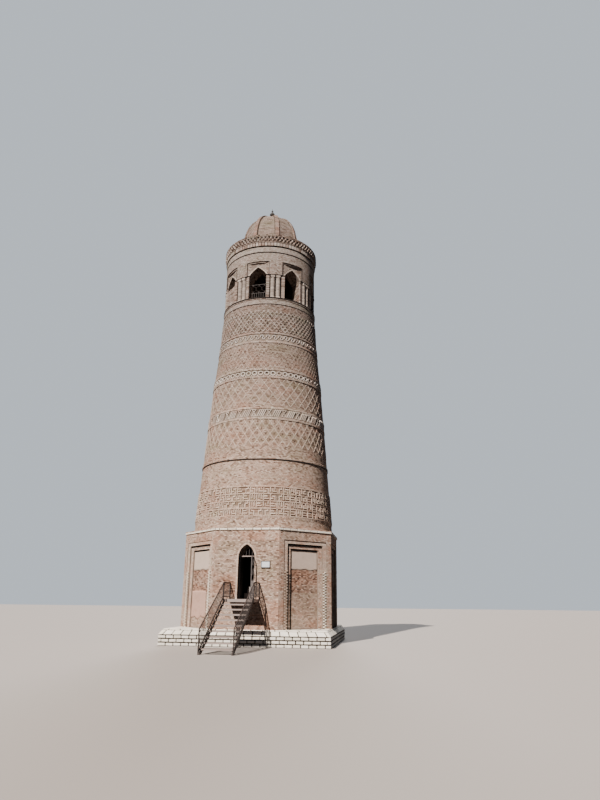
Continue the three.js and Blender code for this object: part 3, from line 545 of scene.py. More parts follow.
def base_tone(u, z):
    """Bias and blush at a place on a face of the base, by height and by how near the corner is."""
    bias = 0.04 * math.sin(2.1 * z + 1.3 * u)
    blush = 0.14 if abs(u) > face_half - 0.22 else 0.09 + 0.05 * math.sin(1.7 * u - z)
    return bias, blush


def wall_course(bricks, place, z0, z1, u0, u1, out, shift, bias=0.0, blush=0.0, spread=0.75):
    """One course of a flat wall, each brick with the base's tones."""
    for a, b in bond(u0, u1, header_length, shift):
        more, warm = base_tone((a + b) / 2, z0)
        bricks.append(brick_at(place, a, b, z0, z1, out, tone(bias + more, spread, blush + warm), 0.04))


def dog_teeth(bricks, teeth, place, z0, z1, u0, u1, bed):
    """A dog-tooth strip: headers stand out, left and right in turn, over a bed of bricks darkened as painted
    shade.
    """
    middle = (u0 + u1) / 2
    count = round((z1 - z0) / tooth_pitch)
    step = (z1 - z0) / count
    for i in range(count):
        foot, head = z0 + i * step, z0 + (i + 1) * step
        bricks.append(brick_at(place, u0, u1, foot, head, face_out, tone(bed, 0.3), 0.04))
        a, b = (u0, middle) if i % 2 else (middle, u1)
        teeth.append(block_on(place, upright(a + 0.008, b - 0.002, foot + 0.006, head - 0.004), 0.06, 0.07))


def niche_face(bricks, teeth, shaded_teeth, dirt, plaster_foot, turn, bias):
    """A face with a blind niche: the wall round it, its three steps and the brick of its back panel."""
    marks = [base_foot, *sorted(top for half, top, depth in niche_steps), base_top]
    strip = niche_steps[1][0]
    # Right of the doorway the niche's left side lies in shade, so its teeth and corners get painted shade
    left_half_shaded = turn < math.pi
    for side in (-1, 1):
        ends = sorted((side * strip, side * (strip + strip_wide)))
        dull = side < 0 and left_half_shaded
        dog_teeth(bricks, shaded_teeth if dull else teeth, flat_wall(turn, base_apothem - niche_steps[0][2]),
                  base_foot, teeth_top, *ends, -0.2 if dull else -0.42)
    # Near-black bricks along each step's shaded side and under its head are painted shade
    for half, top, depth in niche_steps[1:]:
        shaded_plane = flat_wall(turn, base_apothem - depth)
        for z0, z1 in courses_between(base_foot, top - shade_head) if left_half_shaded else ():
            dirt.append(brick_at(shaded_plane, -half, -half + shade_side, z0, z1, shade_out, tone()))
        for u0, u1 in bond(-half, half - 0.05, header_length, 0):
            dirt.append(brick_at(shaded_plane, u0, u1, top - shade_head, top, shade_out, tone()))
    planes = [flat_wall(turn, base_apothem - depth) for depth in (0, *(step[2] for step in niche_steps))]
    edges = [face_half, *(step[0] for step in niche_steps)]
    for low, high in zip(marks, marks[1:]):
        for i, (z0, z1) in enumerate(courses_between(low, high)):
            open_steps = sum(z1 <= top + 0.01 for half, top, depth in niche_steps)
            for step in range(open_steps + 1):
                edge = edges[step]
                cut = edges[step + 1] if step < open_steps else 0
                shades = (bias,)
                if step == 1 and cut and z1 < teeth_top + 0.02:
                    shades = (bias - 0.1,)
                elif step == 1:
                    shades = (bias + 0.25, 0.0, 0.5)
                elif step == 2:
                    shades = (bias + 0.12,)
                elif step == 3 and z0 >= plaster_foot + 0.12:
                    continue
                elif step == 3:
                    shades = (-0.16, 0.12, 0.8) if z0 > rough_foot else (-0.1, -0.08, 0.45)
                for u0, u1 in [(-edge, -cut), (cut, edge)] if cut else [(-edge, edge)]:
                    if step == 1 and cut and z1 < teeth_top + 0.02:
                        u0, u1 = (u0, u0 + edge_brick) if u0 < 0 else (u1 - edge_brick, u1)
                    wall_course(bricks, planes[step], z0, z1, u0, u1, face_out, 0.5 * (i % 2), *shades)


def plaster_sheet(name, place, u0, u1, z0, z1, out, finish, ragged=0.05, columns=38, rows=14):
    """A hand-trowelled sheet of plaster with a ragged lower edge and a wavy face, closed at the back."""
    turn = place(0, 0, 0)[1]
    wave_height = 0.006
    back = -0.03
    points, faces = [], []
    for is_front in (True, False):
        for j in range(rows + 1):
            for i in range(columns + 1):
                u = u0 + (u1 - u0) * i / columns
                rough = ragged * noise.noise(Vector((u * 3.1, z0, u0)))
                z = z0 + rough + (z1 - z0 - rough) * j / rows
                wave = wave_height * noise.noise(Vector((u * 2.2, z * 2.2, turn)))
                swell = wave_height if 0 < i < columns and 0 < j < rows else 0.0
                points.append(place(u, z, out + wave + swell if is_front else back)[0])
    step = columns + 1
    size = step * (rows + 1)
    for j in range(rows):
        for i in range(columns):
            a = j * step + i
            faces.append((a, a + 1, a + 1 + step, a + step))
            faces.append((a + size + step, a + size + 1 + step, a + size + 1, a + size))
    rim = [*range(step), *(j * step + columns for j in range(1, rows + 1))]
    rim += [rows * step + i for i in range(columns - 1, -1, -1)]
    rim += [j * step for j in range(rows - 1, 0, -1)]
    for a, b in zip(rim, rim[1:] + rim[:1]):
        faces.append((b, a, a + size, b + size))
    piece = new_piece(name, points, faces, [0.5] * len(points))
    piece.data.polygons.foreach_set("use_smooth", [True] * len(faces))
    return finished(piece, finish)


# Plaster is smooth and matt with trowel waves; limewash keeps the teeth chalky pale, and the teeth on a
# niche's shaded side are darker as painted shade
beige_plaster = dressed_stone("trowelled beige plaster", (0xC0ADA0, 0xCBB8AA, 0xD4C3B5), 0xB09C8D, 0.9, 0.5)
pink_plaster = dressed_stone("trowelled pink plaster", (0xB39283, 0xBF9D8D, 0xC8A797), 0xA08070, 0.9, 0.7)
tooth_brick = dressed_stone("limewashed tooth brick", (0xDECFBD, 0xF0E4D4, 0xFBF3E6), 0xB79E8B, 0.9, 0.3)
shaded_tooth_brick = dressed_stone("tooth brick darkened as painted shade", (0xA89383, 0xBDA898, 0xD0BDAD), 0x9C8676, 0.9, 0.4)
panel_half_wide = 0.929
panel_head = 4.858
teeth = []
shaded_teeth = []
niche_shade_bricks = []
face_names = ("right_front", "right", "right_back", "back", "left_back", "left", "left_front")
for i, side in enumerate(face_names):
    turn = (i + 1) * eighth
    bricks = []
    plaster_foot = 3.78 + 0.05 * (i % 3)
    bias = 0.1 if side == "left_front" else 0.05
    niche_face(bricks, teeth, shaded_teeth, niche_shade_bricks, plaster_foot, turn, bias)
    lay(f"base_bricks_{side}", bricks)
    panel = flat_wall(turn, base_apothem - niche_steps[-1][2])
    plaster_sheet(f"niche_plaster_{side}", panel, -panel_half_wide, panel_half_wide, plaster_foot, panel_head,
                  0.012, beige_plaster)
    refinish(mortar_finish, f"base_wall_{side}")
    if side in ("left_front", "back"):
        plaster_sheet(f"niche_patch_{side}", panel, -panel_half_wide, 0.6, 1.3, 2.7, 0.02, pink_plaster, 0.16)
cut_stones("niche_tooth_bricks", teeth, tooth_brick, bevel=0.0, uneven=0.003)
cut_stones("niche_shaded_tooth_bricks", shaded_teeth, shaded_tooth_brick, bevel=0.0, uneven=0.003)
lay("niche_painted_shade_bricks", niche_shade_bricks, finish=painted_shade, gap=0.003, uneven=0.001)

# The doorway's wall has a plain face, a pale rim of rubbed headers round the arch, and brick reveals painted
# near black as shade
door_half = 0.435
door_sill = 2.28
door_spring = 4.36
door_apex = 5.04
door_face = flat_wall(0, base_apothem)
door_arc = ((door_apex - door_spring) ** 2 + door_half ** 2) / (2 * door_half)
rim_width = 0.1
rim_gap = 0.004
rim_out = 0.018
rim_depth = 0.1
rim_steps = 17
reveal_back = 3.07
greyer_above = 3.6


def door_reach(z, beyond=0.0):
    """Half the doorway's width at a height, measured to a line that far outside its edge."""
    up_arc = max(z - door_spring, 0)
    radius = door_arc + beyond
    return math.sqrt(max(radius * radius - up_arc * up_arc, 0)) - door_arc + door_half


door_bricks = []
for i, (z0, z1) in enumerate(courses_between(base_foot, base_top)):
    shift = 0.5 * (i % 2)
    if z1 < door_sill or z0 > door_apex + 1.3 * rim_width:
        wall_course(door_bricks, door_face, z0, z1, -face_half, face_half, face_out, shift, 0.02, 0.06)
        continue
    cut = max(door_reach(z0, rim_width), 0.0) if z0 > door_spring else door_half + rim_width
    for u0, u1 in ((-face_half, -cut), (cut, face_half)):
        blush = -0.1 if z0 > greyer_above else 0.0
        wall_course(door_bricks, door_face, z0, z1, u0, u1, face_out, shift, -0.11, blush)
lay("door_wall_bricks", door_bricks)
reveal_bricks = []
for side in (1, -1):
    reveal = flat_wall(-side * quarter, -door_half)
    span = sorted((side * reveal_back, side * (base_apothem - 0.01)))
    for i, (z0, z1) in enumerate(courses_between(door_sill, door_spring)):
        wall_course(reveal_bricks, reveal, z0, z1, *span, 0.004, 0.5 * (i % 2))
lay("door_reveal_bricks", reveal_bricks, finish=painted_shade, gap=0.003, uneven=0.001)

sweep = math.asin((door_apex - door_spring) / door_arc)
rim_stones = []
for side in (-1, 1):
    for z0, z1 in courses_between(door_sill, door_spring):
        u0, u1 = sorted((side * (door_half + rim_gap), side * (door_half + rim_width)))
        corners = upright(u0, u1, z0 + rim_gap, z1 - rim_gap)
        rim_stones.append(block_on(door_face, corners, rim_out, rim_depth))
    for i in range(rim_steps):
        a0, a1 = (sweep * (i + share) / rim_steps for share in (0.06, 0.94))
        corners = []
        for more, angle in ((rim_gap, a0), (rim_width, a0), (rim_width, a1), (rim_gap, a1)):
            radius = door_arc + more
            u = max(door_half - door_arc + radius * math.cos(angle), 0.002)
            corners.append((side * u, door_spring + radius * math.sin(angle)))
        if side < 0:
            corners.reverse()
        rim_stones.append(block_on(door_face, corners, rim_out, rim_depth))
rim_brick = dressed_stone("pale rubbed brick", (0xB79C8A, 0xCDB5A4, 0xDCC8B8), 0xA98A78, 0.9, 0.5)
cut_stones("door_arch_rim", rim_stones, rim_brick, bevel=0.005, uneven=0.004)
refinish(mortar_finish, "door_wall_left", "door_wall_right", "door_wall_under_sill", "door_wall_arch")


# String course
# Flat slabs of pale sawn limestone cap the octagon and throw the rain clear of its walls. They are long,
# with tight joints, and show as one light line under the shaft. A course of bricks lies on them, and
# bricks laid flat close the ledge in to the shaft's foot.

pale_stone = dressed_stone("sawn pale limestone", (0xE6DACA, 0xF3EADD, 0xFBF5EB), 0xB8A898)
cap_apothem = base_apothem + 0.045
cap_half = cap_apothem * math.tan(math.pi / 8)
slab_foot = 5.79
slab_top = 5.88
slab_length = 0.46
slab_gap = 0.017
bed_foot = 5.882
bed_top = 5.934
slabs = []
bedding = []
for side in range(8):
    cap_face = flat_wall(side * eighth, cap_apothem)
    for u0, u1 in bond(-cap_half, cap_half, slab_length, 0.5):
        corners = upright(u0 + slab_gap, u1 - slab_gap, slab_foot, slab_top)
        slabs.append(block_on(cap_face, corners, 0.016, 0.3))
    wall_course(bedding, cap_face, bed_foot, bed_top, -cap_half, cap_half, 0.004, 0.0, 0.1)
lay("string_course_bed", bedding)

ledge_edge = base_apothem + 0.04
ledge_inner = 4.07
ledge_top = 5.941
ledge_thick = 0.03
ledge_end = cap_half - 0.004
ledge_gap = 0.006
ledge_stones = []
for side in range(8):
    turn = Matrix.Rotation(side * eighth, 3, "Z")
    for u0, u1 in bond(-ledge_end, ledge_end, header_length, 0):
        outer = [Vector((u, -ledge_edge, 0)) for u in (u0 + ledge_gap, u1 - ledge_gap)]
        inner = [corner.normalized() * ledge_inner for corner in reversed(outer)]
        top = [turn @ corner + Vector((0, 0, ledge_top)) for corner in outer + inner]
        ledge_stones.append(top + [corner - Vector((0, 0, ledge_thick)) for corner in top])
cut_stones("string_course_ledge", ledge_stones, brick_finish, bevel=0.0, uneven=0.003)
cut_stones("string_course_slabs", slabs, pale_stone, bevel=0.01, uneven=0.004)

# Feet have worn the steps inside the doorway to a dull grey
trodden_stone = dressed_stone("trodden grey stone", (0x948B88, 0xA79D99, 0xB9AFAA), 0x877D79)
refinish(trodden_stone, "inner_steps")
# The string course's core keeps the dark joint finish: a dark band of painted shade under the slabs
refinish(dark_joint_and_shade, "string_course")


# Shaft
# The round shaft tapers from 8.2 m to 6.0 m across. Plain courses part it into bands, and each band's
# ornament is made by bricks that stand out from the face by rule: frets, lozenges and weaves. Painted shade
# lies under the rings that stand out, and small putlog holes from the builders' scaffold are painted dark.

outline = [(5.8, 4.105), (9.8, 3.82), (15.0, 3.412), (18.0, 3.12), (20.3, 3.02), (24.0, 2.99)]


def shaft_radius(z):
    for (z0, r0), (z1, r1) in zip(outline, outline[1:]):
        if z <= z1:
            return r0 + (r1 - r0) * (z - z0) / (z1 - z0)
    return outline[-1][1]


shaft_wall = round_wall(shaft_radius)


def plain_band(bricks, low, high, out=face_out, bias=0.0, blush=0.0, place=shaft_wall, depth=0.05):
    """A band of plain courses right round, in headers."""
    for i, (z0, z1) in enumerate(courses_between(low, high)):
        course_of(bricks, place, z0, z1, -half_turn, half_turn, out=out, bias=bias, shift=0.5 * (i % 2),
                  length=header_length, blush=blush, depth=depth, spread=0.75)


def repeats(low, high, period):
    """How many repeats of a period fit round the shaft at a band's middle."""
    return round(2 * math.pi * shaft_radius((low + high) / 2) / period)


def merged(pairs, gap):
    """Sorted (from, to) pairs, with those that nearly touch made one."""
    joined = []
    for start, end in sorted(pairs):
        if joined and start < joined[-1][1] + gap:
            joined[-1] = (joined[-1][0], max(end, joined[-1][1]))
        else:
            joined.append((start, end))
    return joined


def lattice_marks(z, low, count, tall, line):
    """Where a diamond lattice's lines cross one course: count diamonds round, each as tall as given."""
    step = 2 * math.pi / count
    half = line / 2 / shaft_radius(z)
    share = ((z - low) / tall) % 1
    marks = []
    for i in range(count):
        for at in (i + share, i + 1 - share):
            middle = -half_turn + (at % count) * step
            marks.append((max(middle - half, -half_turn), min(middle + half, half_turn)))
    return merged(marks, 0.002)


shade_dot_out = face_out + 0.004
shade_dot_share = 0.85


def lattice_band(bricks, low, high, count, tall, line, relief, lift=0.12, bias=0.0, pit=0.0, spread=0.7):
    """A diamond lattice of raised bricks; a dark brick of the given width in most diamonds' middles is
    painted shade.
    """
    step = 2 * math.pi / count
    for i, (z0, z1) in enumerate(courses_between(low, high)):
        z = (z0 + z1) / 2
        marks = lattice_marks(z, low, count, tall, line)
        course_of(bricks, shaft_wall, z0, z1, -half_turn, half_turn, marks, relief=relief, lift=lift,
                  length=0.17, shift=0.5 * (i % 2), bias=bias, spread=spread)
        share = ((z - low) / tall) % 1
        if pit and (share < 0.1 or 0.42 < share < 0.58 or share > 0.9):
            half = pit / 2 / shaft_radius(z)
            for k in range(count):
                if chance.random() < shade_dot_share:
                    middle = -half_turn + (k + (0.0 if 0.3 < share < 0.7 else 0.5)) * step
                    bricks.append(brick_at(shaft_wall, middle - half, middle + half, z0, z1, shade_dot_out,
                                           tone(-0.38, 0.3)))


comb = ("######",
        "#.....",
        "####..",
        "#.....",
        "#####.",
        "#.....")
hook = ("######",
        "....#.",
        "..###.",
        "..#...",
        "..#...",
        "..#...")
key = ("######",
       "#...#.",
       "#.#.#.",
       "#.#...",
       "#.####",
       "......")
fret_cells = 68


def raised_runs(line, unit):
    """The raised bricks of one course, from a line with a mark for each unit that stands out."""
    marks = []
    at = 0
    while at < len(line):
        end = at
        while end < len(line) and line[end] == line[at]:
            end += 1
        if line[at] == "#":
            marks += [(-half_turn + a * unit, -half_turn + b * unit) for a, b in bond(at, end, 4, 0)]
        at = end
    return marks


def turned(cell):
    """A fret cell's pattern on its side, under the line that runs over every row."""
    return cell[0], *("".join(line) for line in list(zip(*cell))[1:])


def fret_band(bricks, low, high, relief):
    """A square fret: rows of combs, hooks and keys in no fixed order, each row under a raised line."""
    size = len(comb)
    unit = 2 * math.pi / (fret_cells * size)
    whole = raised_runs("#" * size * fret_cells, unit)
    step = (high - low) / round((high - low) / course)
    course_of(bricks, shaft_wall, low - step, low, -half_turn, half_turn, whole, relief=relief, lift=0.05,
              spread=0.6)
    for i, (z0, z1) in enumerate(courses_between(low, high)):
        row = size - 1 - i % size
        if row == size - 1:
            cells = [chance.choice((comb, hook, key, turned(comb), turned(key))) for _ in range(fret_cells)]
        marks = raised_runs("".join(cell[row] for cell in cells), unit)
        course_of(bricks, shaft_wall, z0, z1, -half_turn, half_turn, marks, relief=relief,
                  lift=0.45 if row else 0.2, bias=-0.14, spread=0.55)


fret_bricks = []
plain_band(fret_bricks, 5.93, 6.39, blush=0.03)
plain_band(fret_bricks, 6.39, 6.456, out=0.022)
plain_band(fret_bricks, 6.456, 6.523, out=0.036)
fret_band(fret_bricks, 6.59, 8.2, 0.045)
plain_band(fret_bricks, 8.2, 9.7, blush=0.03)
lay("fret_band_bricks", fret_bricks)

belt_bricks = []
plain_band(belt_bricks, 9.755, 9.86, out=0.05, bias=0.05, depth=0.09)
lay("belt_course_bricks", belt_bricks)

lozenge_bricks = []
plain_band(lozenge_bricks, 9.86, 10.52, bias=-0.04)
lattice_band(lozenge_bricks, 10.52, 12.11, 48, 0.72, 0.075, 0.018, bias=-0.12, lift=0.44, pit=0.09,
             spread=0.5)
lay("lozenge_band_bricks", lozenge_bricks)

lattice_bricks = []
plain_band(lattice_bricks, 12.85, 12.98, bias=-0.05)
lattice_band(lattice_bricks, 12.98, 14.72, 42, 0.71, 0.07, 0.018, bias=-0.12, lift=0.46, spread=0.5)
lay("lattice_band_bricks", lattice_bricks)

weave_bricks = []
lattice_band(weave_bricks, 15.35, 17.17, 77, 0.4, 0.09, 0.014, bias=-0.13, lift=0.14)
lay("weave_band_bricks", weave_bricks)

herringbone_bricks = []
plain_band(herringbone_bricks, 17.8, 17.87, bias=-0.1)
lattice_band(herringbone_bricks, 17.87, 19.32, 72, 0.35, 0.08, 0.03, bias=-0.2, lift=0.46, pit=0.11,
             spread=0.9)
plain_band(herringbone_bricks, 19.32, 19.76, bias=-0.04)
lay("herringbone_band_bricks", herringbone_bricks)

# Painted shade under each ring that stands out: from, to, and how far out
shade_lines = ((9.7, 9.755, 0.046), (19.76, 19.83, face_out), (20.18, 20.29, 0.038))
# Putlog holes in the shaft, painted dark as their shade, by degrees and height, and gaps at the base's head
# painted as shade, by face and width
shaft_holes = ((-50, 9.56), (-7, 9.57), (12.5, 9.56), (20, 9.56), (47, 9.58), (54.5, 9.58), (27.5, 9.93))
base_gaps = ((0, -1.74, -1.56), (0, 1.52, 1.74), (eighth, -1.74, -1.6), (eighth, 0.76, 1.02))
hole_turn = 0.021
hole_tall = 0.044
gap_foot = 5.752
gap_head = 5.786
dark_out = face_out + 0.003
painted_shade_bricks = []
for low, high, out in shade_lines:
    plain_band(painted_shade_bricks, low, high, out=out)
for degrees, z in shaft_holes:
    u = math.radians(degrees)
    foot, head = z - hole_tall / 2, z + hole_tall / 2
    painted_shade_bricks.append(brick_at(shaft_wall, u - hole_turn, u + hole_turn, foot, head, dark_out, tone()))
for turn, u0, u1 in base_gaps:
    painted_shade_bricks.append(brick_at(flat_wall(turn, base_apothem), u0, u1, gap_foot, gap_head, dark_out, tone()))


# Belts
# Three narrow belts of carved terracotta run round the shaft, each between two rings of pale brick that
# stand out. Slanting strokes and diamonds, rings and dashes, and scrolls are cut as tiles in relief, set
# edge to edge on a sunk bed. The terracotta is paler and finer than the brick, so it reads light on dark.

def belt_of_tiles():
    """Geometry Nodes that set the given tile at every step round a ring, facing out, each with its tone."""
    tree, given = start_rule("belt of tiles", Tile="Geometry", Count="Int", Radius="Float", Height="Float",
                             Start="Float", Seed="Int", Finish="Material")
    ring = add_node(tree, "GeometryNodeMeshCircle", {"Vertices": given["Count"], "Radius": given["Radius"]})
    step = add_node(tree, "ShaderNodeMath", {0: math.tau, 1: given["Count"]}, operation="DIVIDE")
    index = add_node(tree, "GeometryNodeInputIndex")
    angle = add_node(tree, "ShaderNodeMath", {0: index, 1: step, 2: quarter}, operation="MULTIPLY_ADD")
    facing = add_node(tree, "ShaderNodeCombineXYZ", {"Z": angle})
    set_out = add_node(tree, "GeometryNodeInstanceOnPoints",
                       {"Points": ring, "Instance": given["Tile"], "Rotation": facing})
    fired = add_node(tree, "FunctionNodeRandomValue", {2: 0.4, 3: 0.95, "Seed": given["Seed"]}, 1,
                     data_type="FLOAT")
    toned = add_node(tree, "GeometryNodeStoreNamedAttribute",
                     {"Geometry": set_out, "Name": "tone", "Value": fired}, data_type="FLOAT",
                     domain="INSTANCE")
    lift = add_node(tree, "ShaderNodeCombineXYZ", {"Z": given["Height"]})
    turn = add_node(tree, "ShaderNodeCombineXYZ", {"Z": given["Start"]})
    placed = add_node(tree, "GeometryNodeTransform",
                      {"Geometry": toned, "Translation": lift, "Rotation": turn})
    return end_rule(tree, placed, given["Finish"])


tile_tree = belt_of_tiles()
terracotta = fired_brick("carved pale terracotta", (0x8A786C, 0xC4B0A2, 0xDCCDC0, 0xEEE4DA))


def ribbon(points, width, out, closed=False, back=0.03):
    """Faces of a raised stroke along (x, z) points, facing -Y: (vertices, faces)."""
    count = len(points)
    edges = []
    for i, (x, z) in enumerate(points):
        before = points[(i - 1) % count] if closed or i else points[0]
        after = points[(i + 1) % count] if closed or i < count - 1 else points[-1]
        way = Vector((after[0] - before[0], after[1] - before[1])).normalized() * width / 2
        edges.append(((x - way.y, z + way.x), (x + way.y, z - way.x)))
    verts = []
    for left, right in edges:
        verts += [(left[0], -out, left[1]), (right[0], -out, right[1]),
                  (right[0], back, right[1]), (left[0], back, left[1])]
    faces = []
    for i in range(count if closed else count - 1):
        a, b = 4 * i, 4 * ((i + 1) % count)
        for j in range(4):
            k = (j + 1) % 4
            faces.append((a + j, b + j, b + k, a + k))
    if not closed:
        end = 4 * (count - 1)
        faces += [(3, 2, 1, 0), (end, end + 1, end + 2, end + 3)]
    return verts, faces


def belt(name, strokes, count, z, start=0.0, seed=5):
    """A ring of terracotta tiles at a height, each tile made of the given strokes."""
    verts, faces = [], []
    for more_verts, more_faces in strokes:
        faces += [tuple(i + len(verts) for i in face) for face in more_faces]
        verts += more_verts
    piece = new_piece(name, verts, faces)
    make_by_rule(piece, tile_tree, Count=count, Radius=shaft_radius(z), Height=z, Start=start, Seed=seed,
                 Finish=terracotta)
    return finished(piece, terracotta)


def bar(x0, z0, x1, z1, width, out):
    """A straight stroke."""
    return ribbon([(x0, z0), (x1, z1)], width, out)


def oval(wide, tall, width, out, points=10):
    """A closed oval stroke round the tile's middle."""
    turns = [math.tau * i / points for i in range(points)]
    way = [(wide / 2 * math.cos(angle), tall / 2 * math.sin(angle)) for angle in turns]
    return ribbon(way, width, out, closed=True)


# The rings on both sides of the belts: from, to, and how far out
rings = ((12.11, 12.24, 0.05), (12.76, 12.85, 0.045), (14.72, 14.85, 0.055), (15.22, 15.35, 0.055),
         (17.09, 17.17, 0.05), (17.17, 17.24, 0.02), (17.7, 17.8, 0.055))
ring_bricks = []
for low, high, out in rings:
    plain_band(ring_bricks, low, high, out=out, bias=0.18, depth=0.1)
lay("belt_ring_bricks", ring_bricks)

bed_depth = 0.03
# The sunk beds behind the tiles are darkened as painted shade, near black behind the ring belt
bed_bricks = []
plain_band(bed_bricks, 12.24, 12.76, out=0.0, bias=-0.34, depth=bed_depth)
plain_band(bed_bricks, 17.24, 17.7, out=0.0, bias=-0.5, depth=bed_depth)
plain_band(painted_shade_bricks, 14.85, 15.22, out=0.0, depth=bed_depth)
lay("belt_bed_bricks", bed_bricks)

slant_count = repeats(12.11, 12.85, 0.88)
slant_strokes = [bar(x, -0.22, x + 0.2, 0.21, 0.045, 0.05) for x in (-0.265, -0.155, -0.045, 0.065)]
belt("slant_belt_tiles", slant_strokes, slant_count, 12.5)
diamond_strokes = [ribbon([(-0.13, z), (0, 0.02), (0.13, z)], 0.045, 0.05) for z in (0.22, -0.22)]
diamond_strokes += [bar(-0.07, z, 0.07, z, 0.04, 0.05) for z in (0.2, -0.2)]
belt("diamond_belt_tiles", diamond_strokes, slant_count, 12.5, start=math.pi / slant_count, seed=8)

ring_strokes = [oval(0.26, 0.24, 0.055, 0.055), bar(0.15, -0.14, 0.22, -0.14, 0.04, 0.05)]
belt("ring_belt_tiles", ring_strokes, repeats(14.72, 15.35, 0.365), 15.02)

scroll = [(-0.13, -0.02), (-0.12, 0.1), (-0.03, 0.14), (0.05, 0.08), (0.02, 0.0), (-0.02, -0.07),
          (0.03, -0.14), (0.12, -0.12), (0.16, -0.02)]
belt("scroll_belt_tiles", [ribbon(scroll, 0.045, 0.055)], repeats(17.17, 17.8, 0.365), 17.46)
refinish(mortar_finish, "shaft_fret_band", "shaft_belt_course", "shaft_lozenge_band", "shaft_slant_belt",
         "shaft_lattice_band", "shaft_ring_belt", "shaft_weave_band", "shaft_scroll_belt")
refinish(smoky_mortar_and_shade, "shaft_herringbone_band")


# Lantern
# Eight brick piers stand on a moulded sill, each faced with two round half columns between flat strips, with
# painted shade over their capitals and in the recesses beside them. Keel arches with pale voussoirs spring
# between the piers, each in a sunk square panel under a flush head course, and one arch is half walled up.

lantern_turn = math.radians(-4.5)
sill_top = 20.29
lantern_radius = 2.99
lantern_spring = 21.89
lantern_apex = 22.52
arch_half = 0.59
panel_half = 0.725
panel_top = 22.9
panel_head_radius = 2.93
panel_distance = lantern_radius * math.cos(panel_half / lantern_radius) - 0.06
pier_front = lantern_radius - 0.12
column_spread = 0.175
column_radius = 0.138
column_gap = 0.009
voussoir = 0.09
strip_distance = 2.93
strip_inner = 0.385
strip_outer = 0.597
infill_top = 21.67
keel_flank = 1.82
keel_shoulder = 1.44
head_foot = 22.81
capital_shade_foot = 21.885
capital_shade_top = 21.95
capital_shade_step = 0.05
jamb_inner = 1.995
jamb_outer = 2.924
soffit_rows = 6
soffit_pitch = 0.15


def keel_arch(half, low, high, steps, grow=0.0):
    """Points of a keel arch's right half from its foot to its apex, moved outwards by grow."""
    points = []
    for i in range(steps + 1):
        angle = quarter * i / steps
        x = half * max(math.cos(angle), 0.0) ** keel_flank
        z = low + (high - low) * math.sin(angle) ** keel_shoulder
        points.append(Vector((x, z)))
    if not grow:
        return points
    moved = []
    for i, point in enumerate(points):
        way = (points[min(i + 1, steps)] - points[max(i - 1, 0)]).normalized()
        side = Vector((way.y, -way.x)) * grow
        moved.append(point + side if i < steps else Vector((0.0, point.y + grow * 1.25)))
    return moved


def keel_reach(z, grow=0.0):
    """Half the arch's width at a height, out to the line that lies grow outside it."""
    points = keel_arch(arch_half, lantern_spring, lantern_apex, 24, grow)
    for low, high in zip(points, points[1:]):
        if low.y <= z <= high.y:
            return low.x + (high.x - low.x) * (z - low.y) / max(high.y - low.y, 1e-6)
    return arch_half + grow if z < points[0].y else 0.0


lantern_wall = round_wall(lambda z: lantern_radius)
foot_bricks = []
plain_band(foot_bricks, 19.83, 20.13, bias=0.24, blush=-0.08)
lay("lantern_base_bricks", foot_bricks)
sill_bricks = []
plain_band(sill_bricks, 20.13, 20.18, out=0.038, depth=0.09)
lay("lantern_sill_bricks", sill_bricks)

# Each column's capital and foot: half its width, from, to, and how far out
column_ends = ((0.135, 21.74, 21.88, 0.15), (0.125, 20.295, 20.37, 0.14))
pier_bricks = []
column_drums = []
capitals = []
for i in range(8):
    turn = lantern_turn + (i + 0.5) * eighth
    setback = flat_wall(turn, pier_front)
    strip = flat_wall(turn, strip_distance)
    for z0, z1 in courses_between(sill_top, lantern_spring):
        # Near-black bricks in the recesses beside the columns are painted shade
        for u0, u1 in ((-strip_inner, -0.275), (-0.075, 0.075), (0.275, strip_inner)):
            painted_shade_bricks.append(brick_at(setback, u0, u1, z0, z1, 0.006, tone(), 0.04))
        for side in (-1, 1):
            u0, u1 = sorted((side * strip_inner, side * strip_outer))
            pier_bricks.append(brick_at(strip, u0, u1, z0, z1, face_out, tone(0.08), 0.068))
            centre = setback(side * column_spread, (z0 + z1) / 2, 0)[0]
            column_drums.append((centre, z1 - z0 - column_gap, tone()[0]))
    for side in (-1, 1):
        middle = side * column_spread
        for half, z0, z1, out in column_ends:
            capitals.append(block_on(setback, upright(middle - half, middle + half, z0, z1), out, out + 0.01))
    # A band of painted shade over the capitals
    for k in range(-4, 4):
        u = turn + k * capital_shade_step
        painted_shade_bricks.append(brick_at(lantern_wall, u, u + capital_shade_step, capital_shade_foot, capital_shade_top, 0.016, tone(), 0.15))

